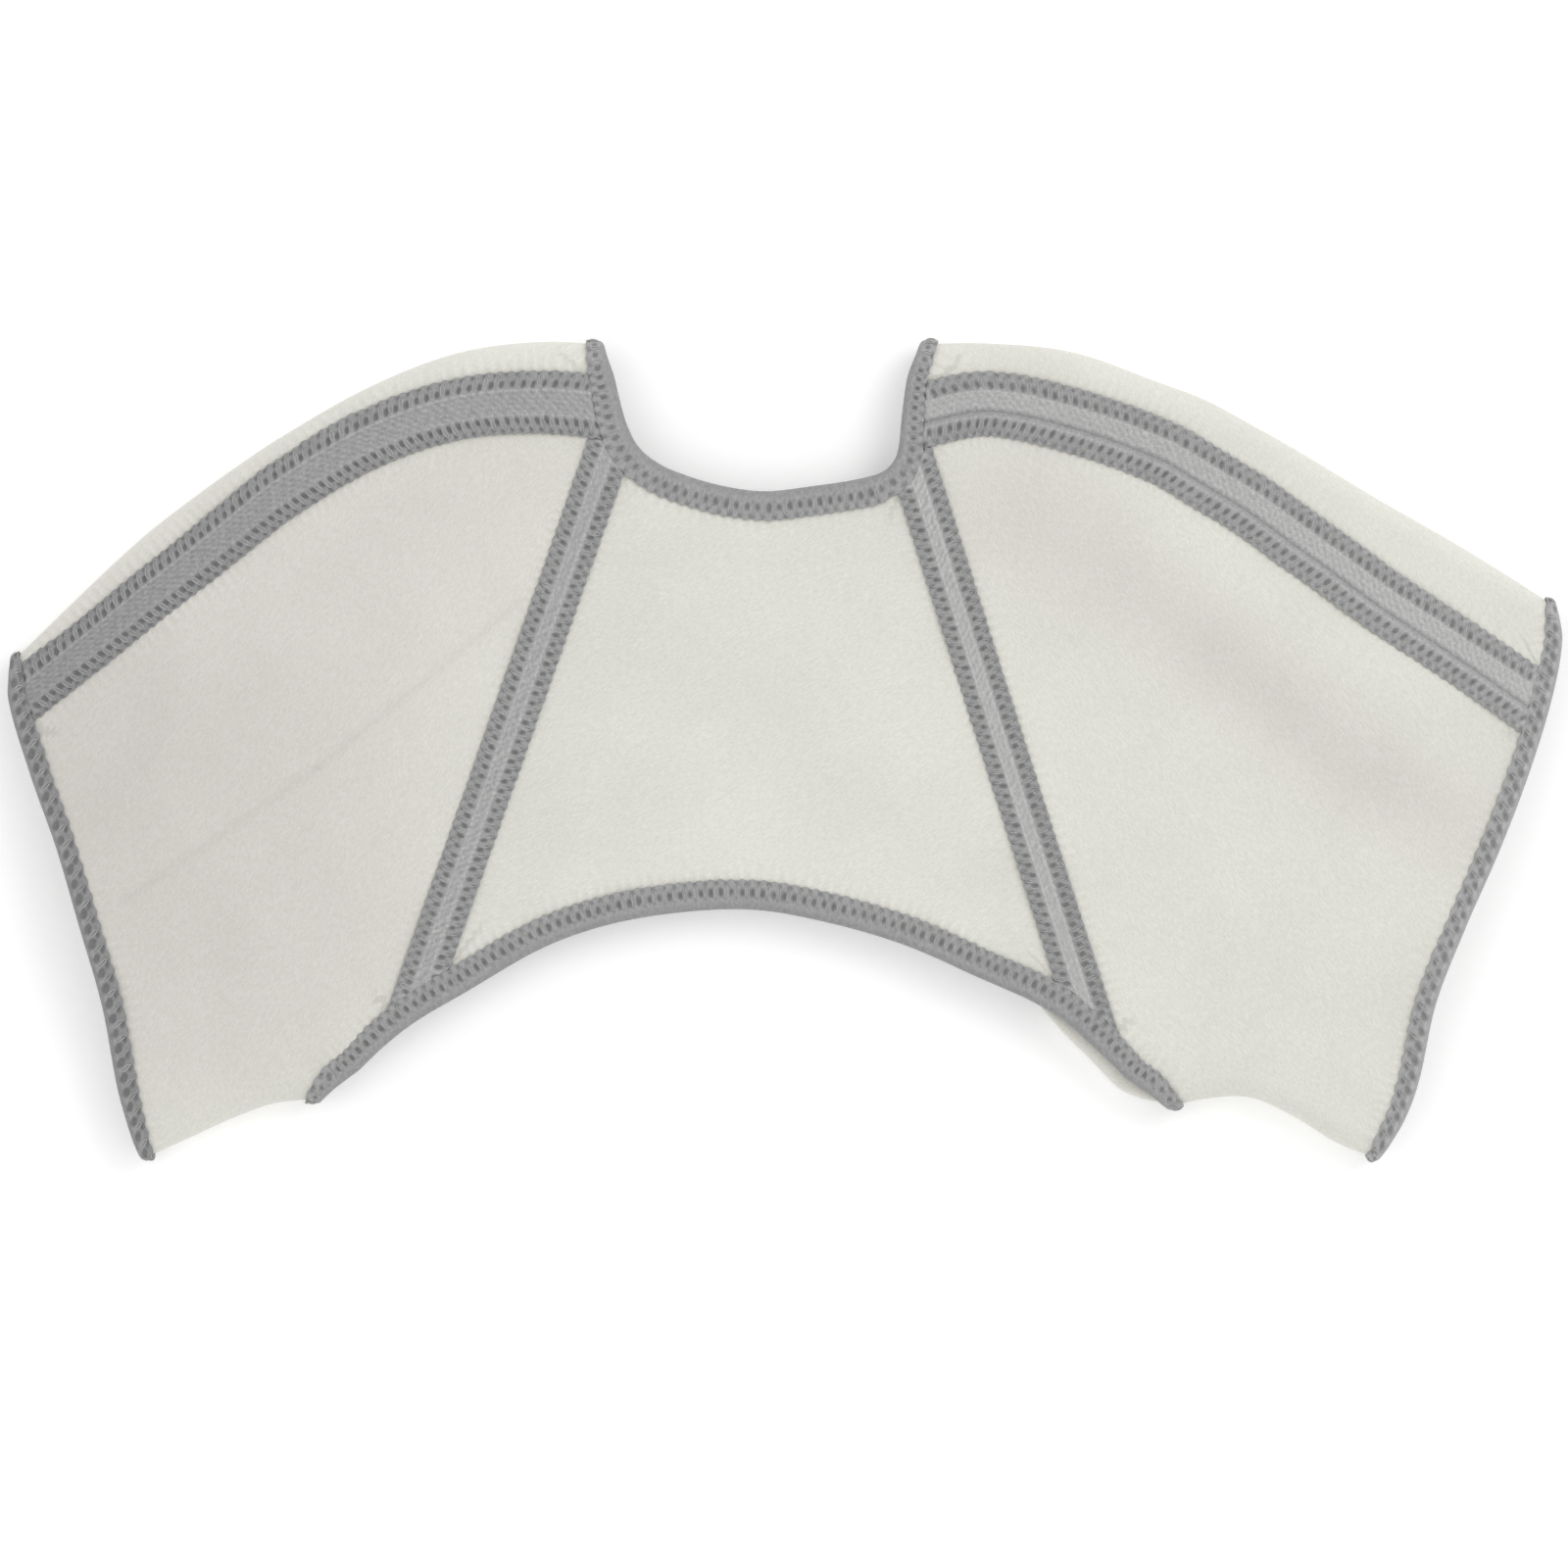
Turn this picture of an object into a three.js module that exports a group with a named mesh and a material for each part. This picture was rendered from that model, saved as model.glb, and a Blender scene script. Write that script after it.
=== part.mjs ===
// A double shoulder brace lying flat with its back uppermost: two raglan sleeves joined by a back panel
// and a front panel, with taped seams and bound edges.
// Millimetres. X runs from cuff to cuff, Y from the hem towards the neck, Z up from the table.
import * as THREE from 'three';

// Overall sizes of the brace as it lies.
const SPAN = 602; // cuff to cuff
const DEPTH = 317; // shoulder fold to the lowest underarm corner
const FOLD_RADIUS = 8; // middle of the fabric round the shoulder and underarm folds
const CROWN = 15; // rise of a sleeve above its folds

// Cloth and tape.
const FABRIC = 3; // thickness of the fleece-faced fabric
const TAPE = 0.8; // thickness of seam tape and binding
const GAP = 0.35; // between a tape and the fabric that it lies on
const FOLD_GAP = 0.75; // more of it round a fold, where tape and fabric bend in facets
const SEAM_GAP = 0.8; // between two panel edges under a seam tape
const EDGE_FOLD = TAPE + GAP; // from the outline of a bound edge to the cut edge in the binding
const EDGE_INSET = 1.6; // cloth ends this far inside the cut edge
const SHOULDER_TAPE = 25; // width over the shoulder seam
const RAGLAN_TAPE = 17.5; // width over the raglan seams
const BINDING = 10.2; // reach of the neck and hem binding over each face, from the cut edge
const CUFF_BINDING = 7; // reach of the cuff binding over each face
const FOLD_TAPER = 0.4; // share of its reach that a binding loses at the shoulder and underarm folds
const TAPER_REACH = 2; // how far from a fold that starts, in arcs of the fold
// Share of its width that each shoulder tape loses on its way to the cuff.
const NARROWING = { left: 0.22, right: 0 };

// Share of each half loop, counted from fold to fold, that a rounded fold takes.
const ARC = 0.1;
// Facets of a quarter fold.
const ARC_STEPS = 5;
// Length in X of the short steps that measure slopes.
const NUDGE = 0.05;

const HALF_SPAN = SPAN / 2;
// The binding under the front lies on the table, and lifts the fabric by its own thickness.
const FRONT_HEIGHT = TAPE + GAP + FABRIC / 2;

// Sections across the brace. at: place in half spans. fold, under: outline of the shoulder fold and of
// the underarm fold, in depths. Between the sleeves both run on past the neck and the hem, which are
// cut from them. seam: drop of the shoulder seam below the fold, in depths. rise: crown, in CROWN.
const SECTIONS = [
  { at: -1.05, fold: 0.06, under: -0.574, seam: 0.056, rise: 0.3 },
  { at: -0.992, fold: 0.114, under: -0.555, seam: 0.058, rise: 0.4 },
  { at: -0.878, fold: 0.219, under: -0.516, seam: 0.076, rise: 0.65 },
  { at: -0.822, fold: 0.267, under: -0.4965, seam: 0.081, rise: 0.78 },
  { at: -0.765, fold: 0.309, under: -0.4725, seam: 0.081, rise: 0.9 },
  { at: -0.708, fold: 0.348, under: -0.448, seam: 0.076, rise: 0.98 },
  { at: -0.651, fold: 0.384, under: -0.4305, seam: 0.069, rise: 1 },
  { at: -0.538, fold: 0.445, under: -0.4257, seam: 0.066, rise: 0.85 },
  { at: -0.424, fold: 0.487, under: -0.4257, seam: 0.071, rise: 0.45 },
  { at: -0.311, fold: 0.501, under: -0.4257, seam: 0.076, rise: 0.05 },
  { at: -0.209, fold: 0.495, under: -0.4257, seam: 0.079, rise: -0.2 },
  { at: -0.04, fold: 0.493, under: -0.4257, seam: 0.09, rise: -0.45 },
  { at: 0.152, fold: 0.497, under: -0.4275, seam: 0.091, rise: -0.25 },
  { at: 0.257, fold: 0.499, under: -0.43, seam: 0.076, rise: 0.05 },
  { at: 0.37, fold: 0.488, under: -0.434, seam: 0.086, rise: 0.45 },
  { at: 0.484, fold: 0.45, under: -0.436, seam: 0.087, rise: 0.85 },
  { at: 0.54, fold: 0.43, under: -0.4265, seam: 0.098, rise: 0.95 },
  { at: 0.597, fold: 0.401, under: -0.4246, seam: 0.102, rise: 1 },
  { at: 0.654, fold: 0.3707, under: -0.448, seam: 0.111, rise: 1 },
  { at: 0.711, fold: 0.338, under: -0.481, seam: 0.117, rise: 0.92 },
  { at: 0.767, fold: 0.306, under: -0.501, seam: 0.124, rise: 0.8 },
  { at: 0.881, fold: 0.2437, under: -0.5455, seam: 0.133, rise: 0.55 },
  { at: 0.994, fold: 0.175, under: -0.584, seam: 0.139, rise: 0.4 },
  { at: 1.06, fold: 0.13, under: -0.603, seam: 0.141, rise: 0.3 },
];

// Outlines of the bound edges. at: in half spans, y: in depths. side 0 is where the edge crosses a fold,
// side 1 lies on the back and side -1 on the front.
const NECK_EDGE = [
  { side: 0, at: -0.234 },
  { side: 1, at: -0.2289, y: 0.4772 },
  { side: 1, at: -0.2175, y: 0.4449 },
  { side: 1, at: -0.2049, y: 0.3994 },
  { side: 1, at: -0.1898, y: 0.3707 },
  { side: 1, at: -0.1633, y: 0.3503 },
  { side: 1, at: -0.1343, y: 0.3383 },
  { side: 1, at: -0.0839, y: 0.324 },
  { side: 1, at: -0.0271, y: 0.3168 },
  { side: 1, at: 0.0296, y: 0.3228 },
  { side: 1, at: 0.0889, y: 0.3311 },
  { side: 1, at: 0.128, y: 0.3419 },
  { side: 1, at: 0.1444, y: 0.3587 },
  { side: 1, at: 0.1532, y: 0.403 },
  { side: 1, at: 0.162, y: 0.4509 },
  { side: 1, at: 0.1721, y: 0.4772 },
  { side: 0, at: 0.1785 },
  { side: -1, at: 0.1746, y: 0.4725 },
  { side: -1, at: 0.1633, y: 0.4389 },
  { side: -1, at: 0.1545, y: 0.379 },
  { side: -1, at: 0.1305, y: 0.3072 },
  { side: -1, at: 0.0738, y: 0.2413 },
  { side: -1, at: -0.0334, y: 0.209 },
  { side: -1, at: -0.1343, y: 0.2377 },
  { side: -1, at: -0.1885, y: 0.3012 },
  { side: -1, at: -0.2112, y: 0.3731 },
  { side: -1, at: -0.2226, y: 0.4365 },
  { side: -1, at: -0.2327, y: 0.4725 },
];
const HEM_EDGE = [
  { side: 0, at: -0.598 },
  { side: 1, at: -0.5694, y: -0.4042 },
  { side: 1, at: -0.5404, y: -0.3826 },
  { side: 1, at: -0.4836, y: -0.3359 },
  { side: 1, at: -0.4054, y: -0.2916 },
  { side: 1, at: -0.3134, y: -0.2413 },
  { side: 1, at: -0.2226, y: -0.2114 },
  { side: 1, at: -0.128, y: -0.197 },
  { side: 1, at: -0.0397, y: -0.1946 },
  { side: 1, at: 0.0486, y: -0.209 },
  { side: 1, at: 0.1494, y: -0.2365 },
  { side: 1, at: 0.2503, y: -0.2784 },
  { side: 1, at: 0.3159, y: -0.306 },
  { side: 1, at: 0.3537, y: -0.3275 },
  { side: 1, at: 0.3915, y: -0.3587 },
  { side: 1, at: 0.4332, y: -0.397 },
  { side: 1, at: 0.4647, y: -0.4174 },
  { side: 0, at: 0.489 },
  { side: -1, at: 0.4584, y: -0.4066 },
  { side: -1, at: 0.389, y: -0.3419 },
  { side: -1, at: 0.3008, y: -0.2844 },
  { side: -1, at: 0.1494, y: -0.2198 },
  { side: -1, at: -0.0397, y: -0.1766 },
  { side: -1, at: -0.2289, y: -0.1934 },
  { side: -1, at: -0.4054, y: -0.2725 },
  { side: -1, at: -0.5063, y: -0.3395 },
  { side: -1, at: -0.5631, y: -0.3922 },
];

// Cuff edges. down: way from the shoulder fold to the underarm fold, 0 to 1. at: in half spans.
const CUFF_EDGES = {
  left: [
    { down: 0, at: -0.997 },
    { down: 0.06, at: -1 },
    { down: 0.24, at: -0.97 },
    { down: 0.41, at: -0.935 },
    { down: 0.57, at: -0.906 },
    { down: 0.725, at: -0.878 },
    { down: 0.87, at: -0.86 },
    { down: 0.94, at: -0.847 },
    { down: 1, at: -0.833 },
  ],
  right: [
    { down: 0, at: 0.991 },
    { down: 0.044, at: 0.998 },
    { down: 0.148, at: 0.985 },
    { down: 0.29, at: 0.955 },
    { down: 0.44, at: 0.916 },
    { down: 0.588, at: 0.872 },
    { down: 0.727, at: 0.835 },
    { down: 0.858, at: 0.814 },
    { down: 0.928, at: 0.796 },
    { down: 1, at: 0.767 },
  ],
};

// Raglan seams, straight in plan on the back and on the front, from the neck to the hem.
const RAGLAN_SEAMS = {
  left: { neck: { at: -0.2193, y: 0.391 }, hem: { at: -0.4748, y: -0.2976 } },
  right: { neck: { at: 0.1494, y: 0.391 }, hem: { at: 0.3953, y: -0.3395 } },
};

// Soft hollows pressed into the upper layer. at, y: middle. turn: degrees from X. long, wide: reach in
// depths. drop: in CROWN, negative for a ridge.
const HOLLOWS = [
  { at: 0.6, y: 0.1, turn: -38, long: 0.26, wide: 0.075, drop: 0.36 },
  { at: 0.66, y: -0.34, turn: 12, long: 0.14, wide: 0.06, drop: 0.2 },
  { at: -0.56, y: -0.02, turn: 38, long: 0.36, wide: 0.05, drop: 0.1 },
  { at: -0.7, y: -0.33, turn: 20, long: 0.12, wide: 0.06, drop: 0.18 },
];

// Facet counts: along a sleeve, round its back and front, and across and down a body panel.
const SLEEVE_STEPS = 9;
const PANEL_STEPS = { across: 18, down: 8 };
const FRONT_STEPS = 4;
const NECK_STEPS = 58;
const HEM_STEPS = 72;
// A turn of this many radians along an edge counts as one step, and so does this length.
const EDGE_STEP = { turn: 0.3, length: 12 };
const SHOULDER_TAPE_STEPS = { along: 20, across: 6 };
const RAGLAN_TAPE_STEPS = { along: 16, across: 3 };
// Points of the fine lines that edges are read from, and rounds of the search for a crossing.
const LINE_POINTS = 900;
const ROUNDS = 14;
const WALK_STEPS = 3;
// Share of a sleeve's length, in even steps, that the first facet takes of its own.
const FIRST_STEP = 0.55;
// Least share of a sleeve's back that its first row takes.
const LEAST_ROW = 0.02;
// Ranges of s in which a raglan seam meets the neck and the hem. On the front the neck's s is below 0.
const MEETING = {
  backNeck: [0.02, 0.3],
  backHem: [0.6, 0.98],
  frontHem: [1.4, 1.02],
  frontNeck: [-0.3, -0.02],
};
// Middles of the neck opening and of the hem opening, on their folds. at: in half spans.
const NECK_MIDDLE = { at: -0.035, s: 0 };
const HEM_MIDDLE = { at: -0.05, s: 1 };

const CLOTH = new THREE.MeshStandardMaterial({ color: 0xdedcd4, roughness: 0.95, metalness: 0 });
const SEAM_CLOTH = new THREE.MeshStandardMaterial({ color: 0x9a9a9a, roughness: 0.85, metalness: 0 });
const EDGE_CLOTH = new THREE.MeshStandardMaterial({ color: 0x969696, roughness: 0.85, metalness: 0 });

const lerp = THREE.MathUtils.lerp;
const clamp = THREE.MathUtils.clamp;

// A smooth function through a table's rows, straight beyond its ends.
function through(rows, from, to) {
  const x = rows.map((row) => row[from]);
  const y = rows.map((row) => row[to]);
  const last = x.length - 1;
  const slope = x.map((_, i) => {
    const a = Math.max(i - 1, 0);
    const b = Math.min(i + 1, last);
    return (y[b] - y[a]) / (x[b] - x[a]);
  });
  return (at) => {
    if (at <= x[0]) return y[0] + slope[0] * (at - x[0]);
    if (at >= x[last]) return y[last] + slope[last] * (at - x[last]);
    const i = x.findIndex((_, k) => at < x[k + 1]);
    const width = x[i + 1] - x[i];
    const t = (at - x[i]) / width;
    const turn = t * t * (3 - 2 * t);
    const leave = t * (1 - t) * (1 - t) * slope[i] * width;
    const arrive = t * t * (1 - t) * slope[i + 1] * width;
    return lerp(y[i], y[i + 1], turn) + leave - arrive;
  };
}

const foldShare = through(SECTIONS, 'at', 'fold');
const underShare = through(SECTIONS, 'at', 'under');
const seamShare = through(SECTIONS, 'at', 'seam');
const riseShare = through(SECTIONS, 'at', 'rise');

// Outline of the middle of the fabric, which lies half a thickness inside the outline of the cloth.
function outline(share, x, inwards) {
  const y = share(x / HALF_SPAN) * DEPTH;
  const slope = (share((x + NUDGE) / HALF_SPAN) * DEPTH - y) / NUDGE;
  return y + inwards * (FABRIC / 2) * Math.hypot(1, slope);
}
const topLine = (x) => outline(foldShare, x, -1);
const bottomLine = (x) => outline(underShare, x, 1);

// Height that the hollows take from the upper layer at a place in plan.
function hollowDepth(x, y) {
  return HOLLOWS.reduce((sum, hollow) => {
    const angle = THREE.MathUtils.degToRad(hollow.turn);
    const dx = x - hollow.at * HALF_SPAN;
    const dy = y - hollow.y * DEPTH;
    const along = (dx * Math.cos(angle) + dy * Math.sin(angle)) / (hollow.long * DEPTH);
    const across = (dy * Math.cos(angle) - dx * Math.sin(angle)) / (hollow.wide * DEPTH);
    return sum + hollow.drop * CROWN * Math.exp(-along * along - across * across);
  }, 0);
}

// The middle of the fabric at x. s runs round the loop: 0 at the shoulder fold, 0 to 1 down the back,
// 1 at the underarm fold, and 1 to 2 up the front.
function surface(x, s) {
  const round = ((s % 2) + 2) % 2;
  const back = round < 1;
  const half = back ? round : 2 - round;
  const top = topLine(x);
  const bottom = bottomLine(x);
  const flat = top - bottom - 2 * FOLD_RADIUS;
  const middle = FRONT_HEIGHT + FOLD_RADIUS;
  const up = back ? 1 : -1;
  if (half < ARC || half > 1 - ARC) {
    const upper = half < ARC;
    const angle = ((upper ? half : 1 - half) / ARC) * (Math.PI / 2);
    const inset = FOLD_RADIUS * (1 - Math.cos(angle));
    const y = upper ? top - inset : bottom + inset;
    return new THREE.Vector3(x, y, middle + up * FOLD_RADIUS * Math.sin(angle));
  }
  const a = (half - ARC) / (1 - 2 * ARC);
  const y = top - FOLD_RADIUS - a * flat;
  const bump = Math.sin(Math.PI * a);
  const lift = (riseShare(x / HALF_SPAN) * CROWN - hollowDepth(x, y)) * bump ** 2;
  return new THREE.Vector3(x, y, middle + up * FOLD_RADIUS + (back ? lift : 0));
}

// How far round its half loop a place in plan lies, 0 at the shoulder fold and 1 at the underarm fold.
function halfAt(x, y) {
  const top = topLine(x);
  const bottom = bottomLine(x);
  const fromTop = Math.max(0, top - y);
  const fromBottom = Math.max(0, y - bottom);
  const bend = (inset) => (Math.acos(1 - Math.min(1, inset / FOLD_RADIUS)) / (Math.PI / 2)) * ARC;
  if (fromTop < FOLD_RADIUS) return bend(fromTop);
  if (fromBottom < FOLD_RADIUS) return 1 - bend(fromBottom);
  return ARC + ((fromTop - FOLD_RADIUS) / (top - bottom - 2 * FOLD_RADIUS)) * (1 - 2 * ARC);
}

const SLOPE_S = 1e-4;
function slopes(x, s) {
  const alongX = surface(x + NUDGE, s).sub(surface(x - NUDGE, s)).divideScalar(2 * NUDGE);
  const alongS = surface(x, s + SLOPE_S).sub(surface(x, s - SLOPE_S)).divideScalar(2 * SLOPE_S);
  return { alongX, alongS };
}
function normalAt(x, s) {
  const { alongX, alongS } = slopes(x, s);
  return alongS.cross(alongX).normalize();
}

// A spot on the fabric, given as x and s.
const spot = (x, s) => ({ x, s });
const pointAt = (place) => surface(place.x, place.s);
// The same spot, raised along the outward normal.
function raised(place, height) {
  return pointAt(place).addScaledVector(normalAt(place.x, place.s), height);
}
// Height of the near face of a tape above the middle of the fabric. The extra round a fold fades out
// after it on the back. On the front it fades out before the tape would dip below the table.
function tapeHeight(place) {
  const round = ((place.s % 2) + 2) % 2;
  const half = Math.min(round, 2 - round);
  const fromFold = Math.min(half, 1 - half) / ARC;
  const least = FABRIC / 2 + GAP;
  if (round < 1) return least + FOLD_GAP * clamp(2 - fromFold, 0, 1);
  const radius = FOLD_RADIUS + least + TAPE;
  const room = radius / Math.sin((clamp(fromFold, 0.1, 1) * Math.PI) / 2) - radius;
  return least + Math.min(FOLD_GAP, room);
}

// Walks over the fabric from a spot, in a direction in space, and gives the spot where it ends.
function walk(from, direction, distance) {
  let here = from;
  const heading = direction.clone();
  for (let i = 0; i < WALK_STEPS; i += 1) {
    const { alongX, alongS } = slopes(here.x, here.s);
    const xx = alongX.dot(alongX);
    const xs = alongX.dot(alongS);
    const ss = alongS.dot(alongS);
    const step = distance / WALK_STEPS;
    const px = alongX.dot(heading) * step;
    const ps = alongS.dot(heading) * step;
    const det = xx * ss - xs * xs;
    here = spot(here.x + (px * ss - ps * xs) / det, here.s + (ps * xx - px * xs) / det);
    heading.projectOnPlane(normalAt(here.x, here.s)).normalize();
  }
  return here;
}

// The direction along the fabric, square to its edge, from each spot of a closed edge.
function inwardsFrom(edge, into) {
  return edge.map((place, i) => {
    const before = pointAt(edge[(i - 1 + edge.length) % edge.length]);
    const after = pointAt(edge[(i + 1) % edge.length]);
    const inwards = normalAt(place.x, place.s).cross(after.sub(before)).normalize();
    return inwards.dot(into(place)) < 0 ? inwards.negate() : inwards;
  });
}
// Directions from the middle of an opening into the fabric round it.
const awayFrom = (middle) => (place) => {
  const { alongX, alongS } = slopes(place.x, place.s);
  alongX.multiplyScalar(place.x - middle.at * HALF_SPAN);
  return alongX.add(alongS.multiplyScalar(place.s - middle.s));
};
const awayFromNeck = awayFrom(NECK_MIDDLE);
const awayFromHem = awayFrom(HEM_MIDDLE);

// The cut edge inside an outline, as a fine line of spots. The outline crosses the folds at s of middle.
function closedEdge(rows, middle) {
  const foldS = middle.s;
  const points = rows.map((row) => {
    const x = row.at * HALF_SPAN;
    const half = row.side === 0 ? foldS : halfAt(x, row.y * DEPTH);
    const s = row.side < 0 ? 2 * foldS - half : half;
    return new THREE.Vector3(x, s * DEPTH, 0);
  });
  const curve = new THREE.CatmullRomCurve3(points, true);
  const line = curve.getSpacedPoints(LINE_POINTS).slice(0, LINE_POINTS).map((p) => spot(p.x, p.y / DEPTH));
  const directions = inwardsFrom(line, awayFrom(middle));
  return line.map((place, i) => walk(place, directions[i], EDGE_FOLD));
}
const neckEdge = closedEdge(NECK_EDGE, NECK_MIDDLE);
const hemEdge = closedEdge(HEM_EDGE, HEM_MIDDLE);

// Where an edge crosses a given s on the left or right half: the crossing nearest to that side's cuff.
function edgeX(edge, s, side) {
  const found = [];
  edge.forEach((a, i) => {
    const b = edge[(i + 1) % edge.length];
    if ((a.s - s) * (b.s - s) <= 0 && a.s !== b.s) {
      found.push(lerp(a.x, b.x, (s - a.s) / (b.s - a.s)));
    }
  });
  if (!found.length) return -sign(side) * Infinity;
  return side === 'left' ? Math.min(...found) : Math.max(...found);
}
const sign = (side) => (side === 'left' ? -1 : 1);

// The raglan seam's x at a given s.
function raglanX(s, side) {
  const { neck, hem } = RAGLAN_SEAMS[side];
  const lean = ((hem.at - neck.at) * HALF_SPAN) / ((hem.y - neck.y) * DEPTH);
  let x = (neck.at * HALF_SPAN + hem.at * HALF_SPAN) / 2;
  for (let i = 0; i < ROUNDS; i += 1) {
    x = neck.at * HALF_SPAN + lean * (surface(x, s).y - neck.y * DEPTH);
  }
  return x;
}

// The shoulder seam's s at x, on the back just below the fold.
const shoulderS = (x) => halfAt(x, topLine(x) + FABRIC / 2 - seamShare(x / HALF_SPAN) * DEPTH);

// The cut edge of a cuff at a given s.
const cuffAt = {
  left: through(CUFF_EDGES.left, 'down', 'at'),
  right: through(CUFF_EDGES.right, 'down', 'at'),
};
function cuffX(s, side) {
  let x = sign(side) * HALF_SPAN;
  for (let i = 0; i < ROUNDS; i += 1) {
    const top = topLine(x);
    const down = (top - surface(x, s).y) / (top - bottomLine(x));
    x = cuffAt[side](clamp(down, 0, 1)) * HALF_SPAN - sign(side) * EDGE_FOLD;
  }
  return x;
}

// The s at which two edges, given as functions of s, change places.
function crossing(first, second, low, high) {
  let a = low;
  let b = high;
  const order = Math.sign(first(a) - second(a));
  for (let i = 0; i < 2 * ROUNDS; i += 1) {
    const middle = (a + b) / 2;
    if (Math.sign(first(middle) - second(middle)) === order) a = middle;
    else b = middle;
  }
  return (a + b) / 2;
}

// Where the raglan seams of one side meet the neck and the hem, on the back and on the front.
function corners(side) {
  const raglan = (s) => raglanX(s, side);
  const neck = (s) => edgeX(neckEdge, s, side);
  const hem = (s) => edgeX(hemEdge, s, side);
  return {
    backNeck: crossing(raglan, neck, ...MEETING.backNeck),
    backHem: crossing(raglan, hem, ...MEETING.backHem),
    frontHem: crossing(raglan, hem, ...MEETING.frontHem),
    frontNeck: 2 + crossing((s) => raglanX(2 + s, side), neck, ...MEETING.frontNeck),
  };
}
const CORNERS = { left: corners('left'), right: corners('right') };

// The inner edge of a sleeve at a given s: neck edge, raglan seam, hem, raglan seam and neck edge in turn.
function sleeveInnerX(s, side) {
  const corner = CORNERS[side];
  const seamInset = sign(side) * (SEAM_GAP / 2);
  const edgeInset = sign(side) * EDGE_INSET;
  if (s < corner.backNeck) return edgeX(neckEdge, s, side) + edgeInset;
  if (s < corner.backHem) return raglanX(s, side) + seamInset;
  if (s < corner.frontHem) return edgeX(hemEdge, s, side) + edgeInset;
  if (s < corner.frontNeck) return raglanX(s, side) + seamInset;
  return edgeX(neckEdge, s - 2, side) + edgeInset;
}

// The values that divide a run of knots into even steps, each run with its own count.
function divided(knots, counts) {
  const out = [knots[0]];
  counts.forEach((count, i) => {
    for (let k = 1; k <= count; k += 1) out.push(lerp(knots[i], knots[i + 1], k / count));
  });
  return out;
}

// Rows round a sleeve, from the shoulder seam down the back and up the front to the seam again, as
// functions that give s at x. The rows on the back fan out from the seam.
function sleeveRows(side) {
  const { backNeck, backHem, frontHem, frontNeck } = CORNERS[side];
  const seamEnd = shoulderS(RAGLAN_SEAMS[side].neck.at * HALF_SPAN);
  const notch = Math.max(LEAST_ROW, (backNeck - seamEnd) / (backHem - seamEnd));
  const fan = [0, ...divided([notch, 1], [PANEL_STEPS.down])].map((t) => (x) =>
    lerp(shoulderS(x) + seamClearance(x), backHem, t));
  const knots = [backHem, 1 - ARC, 1, 1 + ARC, frontHem, frontNeck, 2 - ARC, 2, 2 + ARC];
  const counts = [1, ARC_STEPS, ARC_STEPS, 2, FRONT_STEPS, 1, ARC_STEPS, ARC_STEPS];
  const around = divided(knots, counts).slice(1).map((s) => () => s);
  const last = [0.5, 1].map((t) => (x) => lerp(2 + ARC, 2 + shoulderS(x) - seamClearance(x), t));
  return [...fan, ...around, ...last];
}
// Half the gap under the shoulder tape, as a length in s.
const seamClearance = (x) => SEAM_GAP / 2 / slopes(x, shoulderS(x)).alongS.length();

function sleeveGrid(side) {
  return sleeveRows(side).map((s) => {
    let inner = RAGLAN_SEAMS[side].neck.at * HALF_SPAN;
    let outer = sign(side) * HALF_SPAN;
    for (let i = 0; i < ROUNDS; i += 1) {
      inner = sleeveInnerX(s(inner), side);
      outer = cuffX(s(outer), side) - sign(side) * EDGE_INSET;
    }
    return Array.from({ length: SLEEVE_STEPS + 1 }, (_, k) => {
      const along = k / SLEEVE_STEPS;
      const x = lerp(inner, outer, along * lerp(FIRST_STEP, 1, along));
      return spot(x, s(x));
    });
  });
}

// The part of a closed edge between two x, on the side of the given s, from left to right.
function stretch(edge, fromX, toX, isOnSide) {
  return edge
    .filter((p) => isOnSide(p.s) && p.x > fromX && p.x < toX)
    .sort((a, b) => a.x - b.x);
}

// A given number of steps along a line of spots, shorter where it turns.
function spaced(line, count) {
  const points = line.map(pointAt);
  const cost = [0];
  for (let i = 1; i < line.length; i += 1) {
    const step = points[i].clone().sub(points[i - 1]);
    const before = i > 1 ? points[i - 1].clone().sub(points[i - 2]) : step;
    const turn = step.lengthSq() && before.lengthSq() ? before.angleTo(step) : 0;
    cost.push(cost[i - 1] + step.length() / EDGE_STEP.length + turn / EDGE_STEP.turn);
  }
  const total = cost[cost.length - 1];
  return Array.from({ length: count + 1 }, (_, k) => {
    const at = total * (k / count);
    const i = clamp(cost.findIndex((c) => c >= at), 1, line.length - 1);
    const t = (at - cost[i - 1]) / (cost[i] - cost[i - 1]);
    return spot(lerp(line[i - 1].x, line[i].x, t), lerp(line[i - 1].s, line[i].s, t));
  });
}

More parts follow.
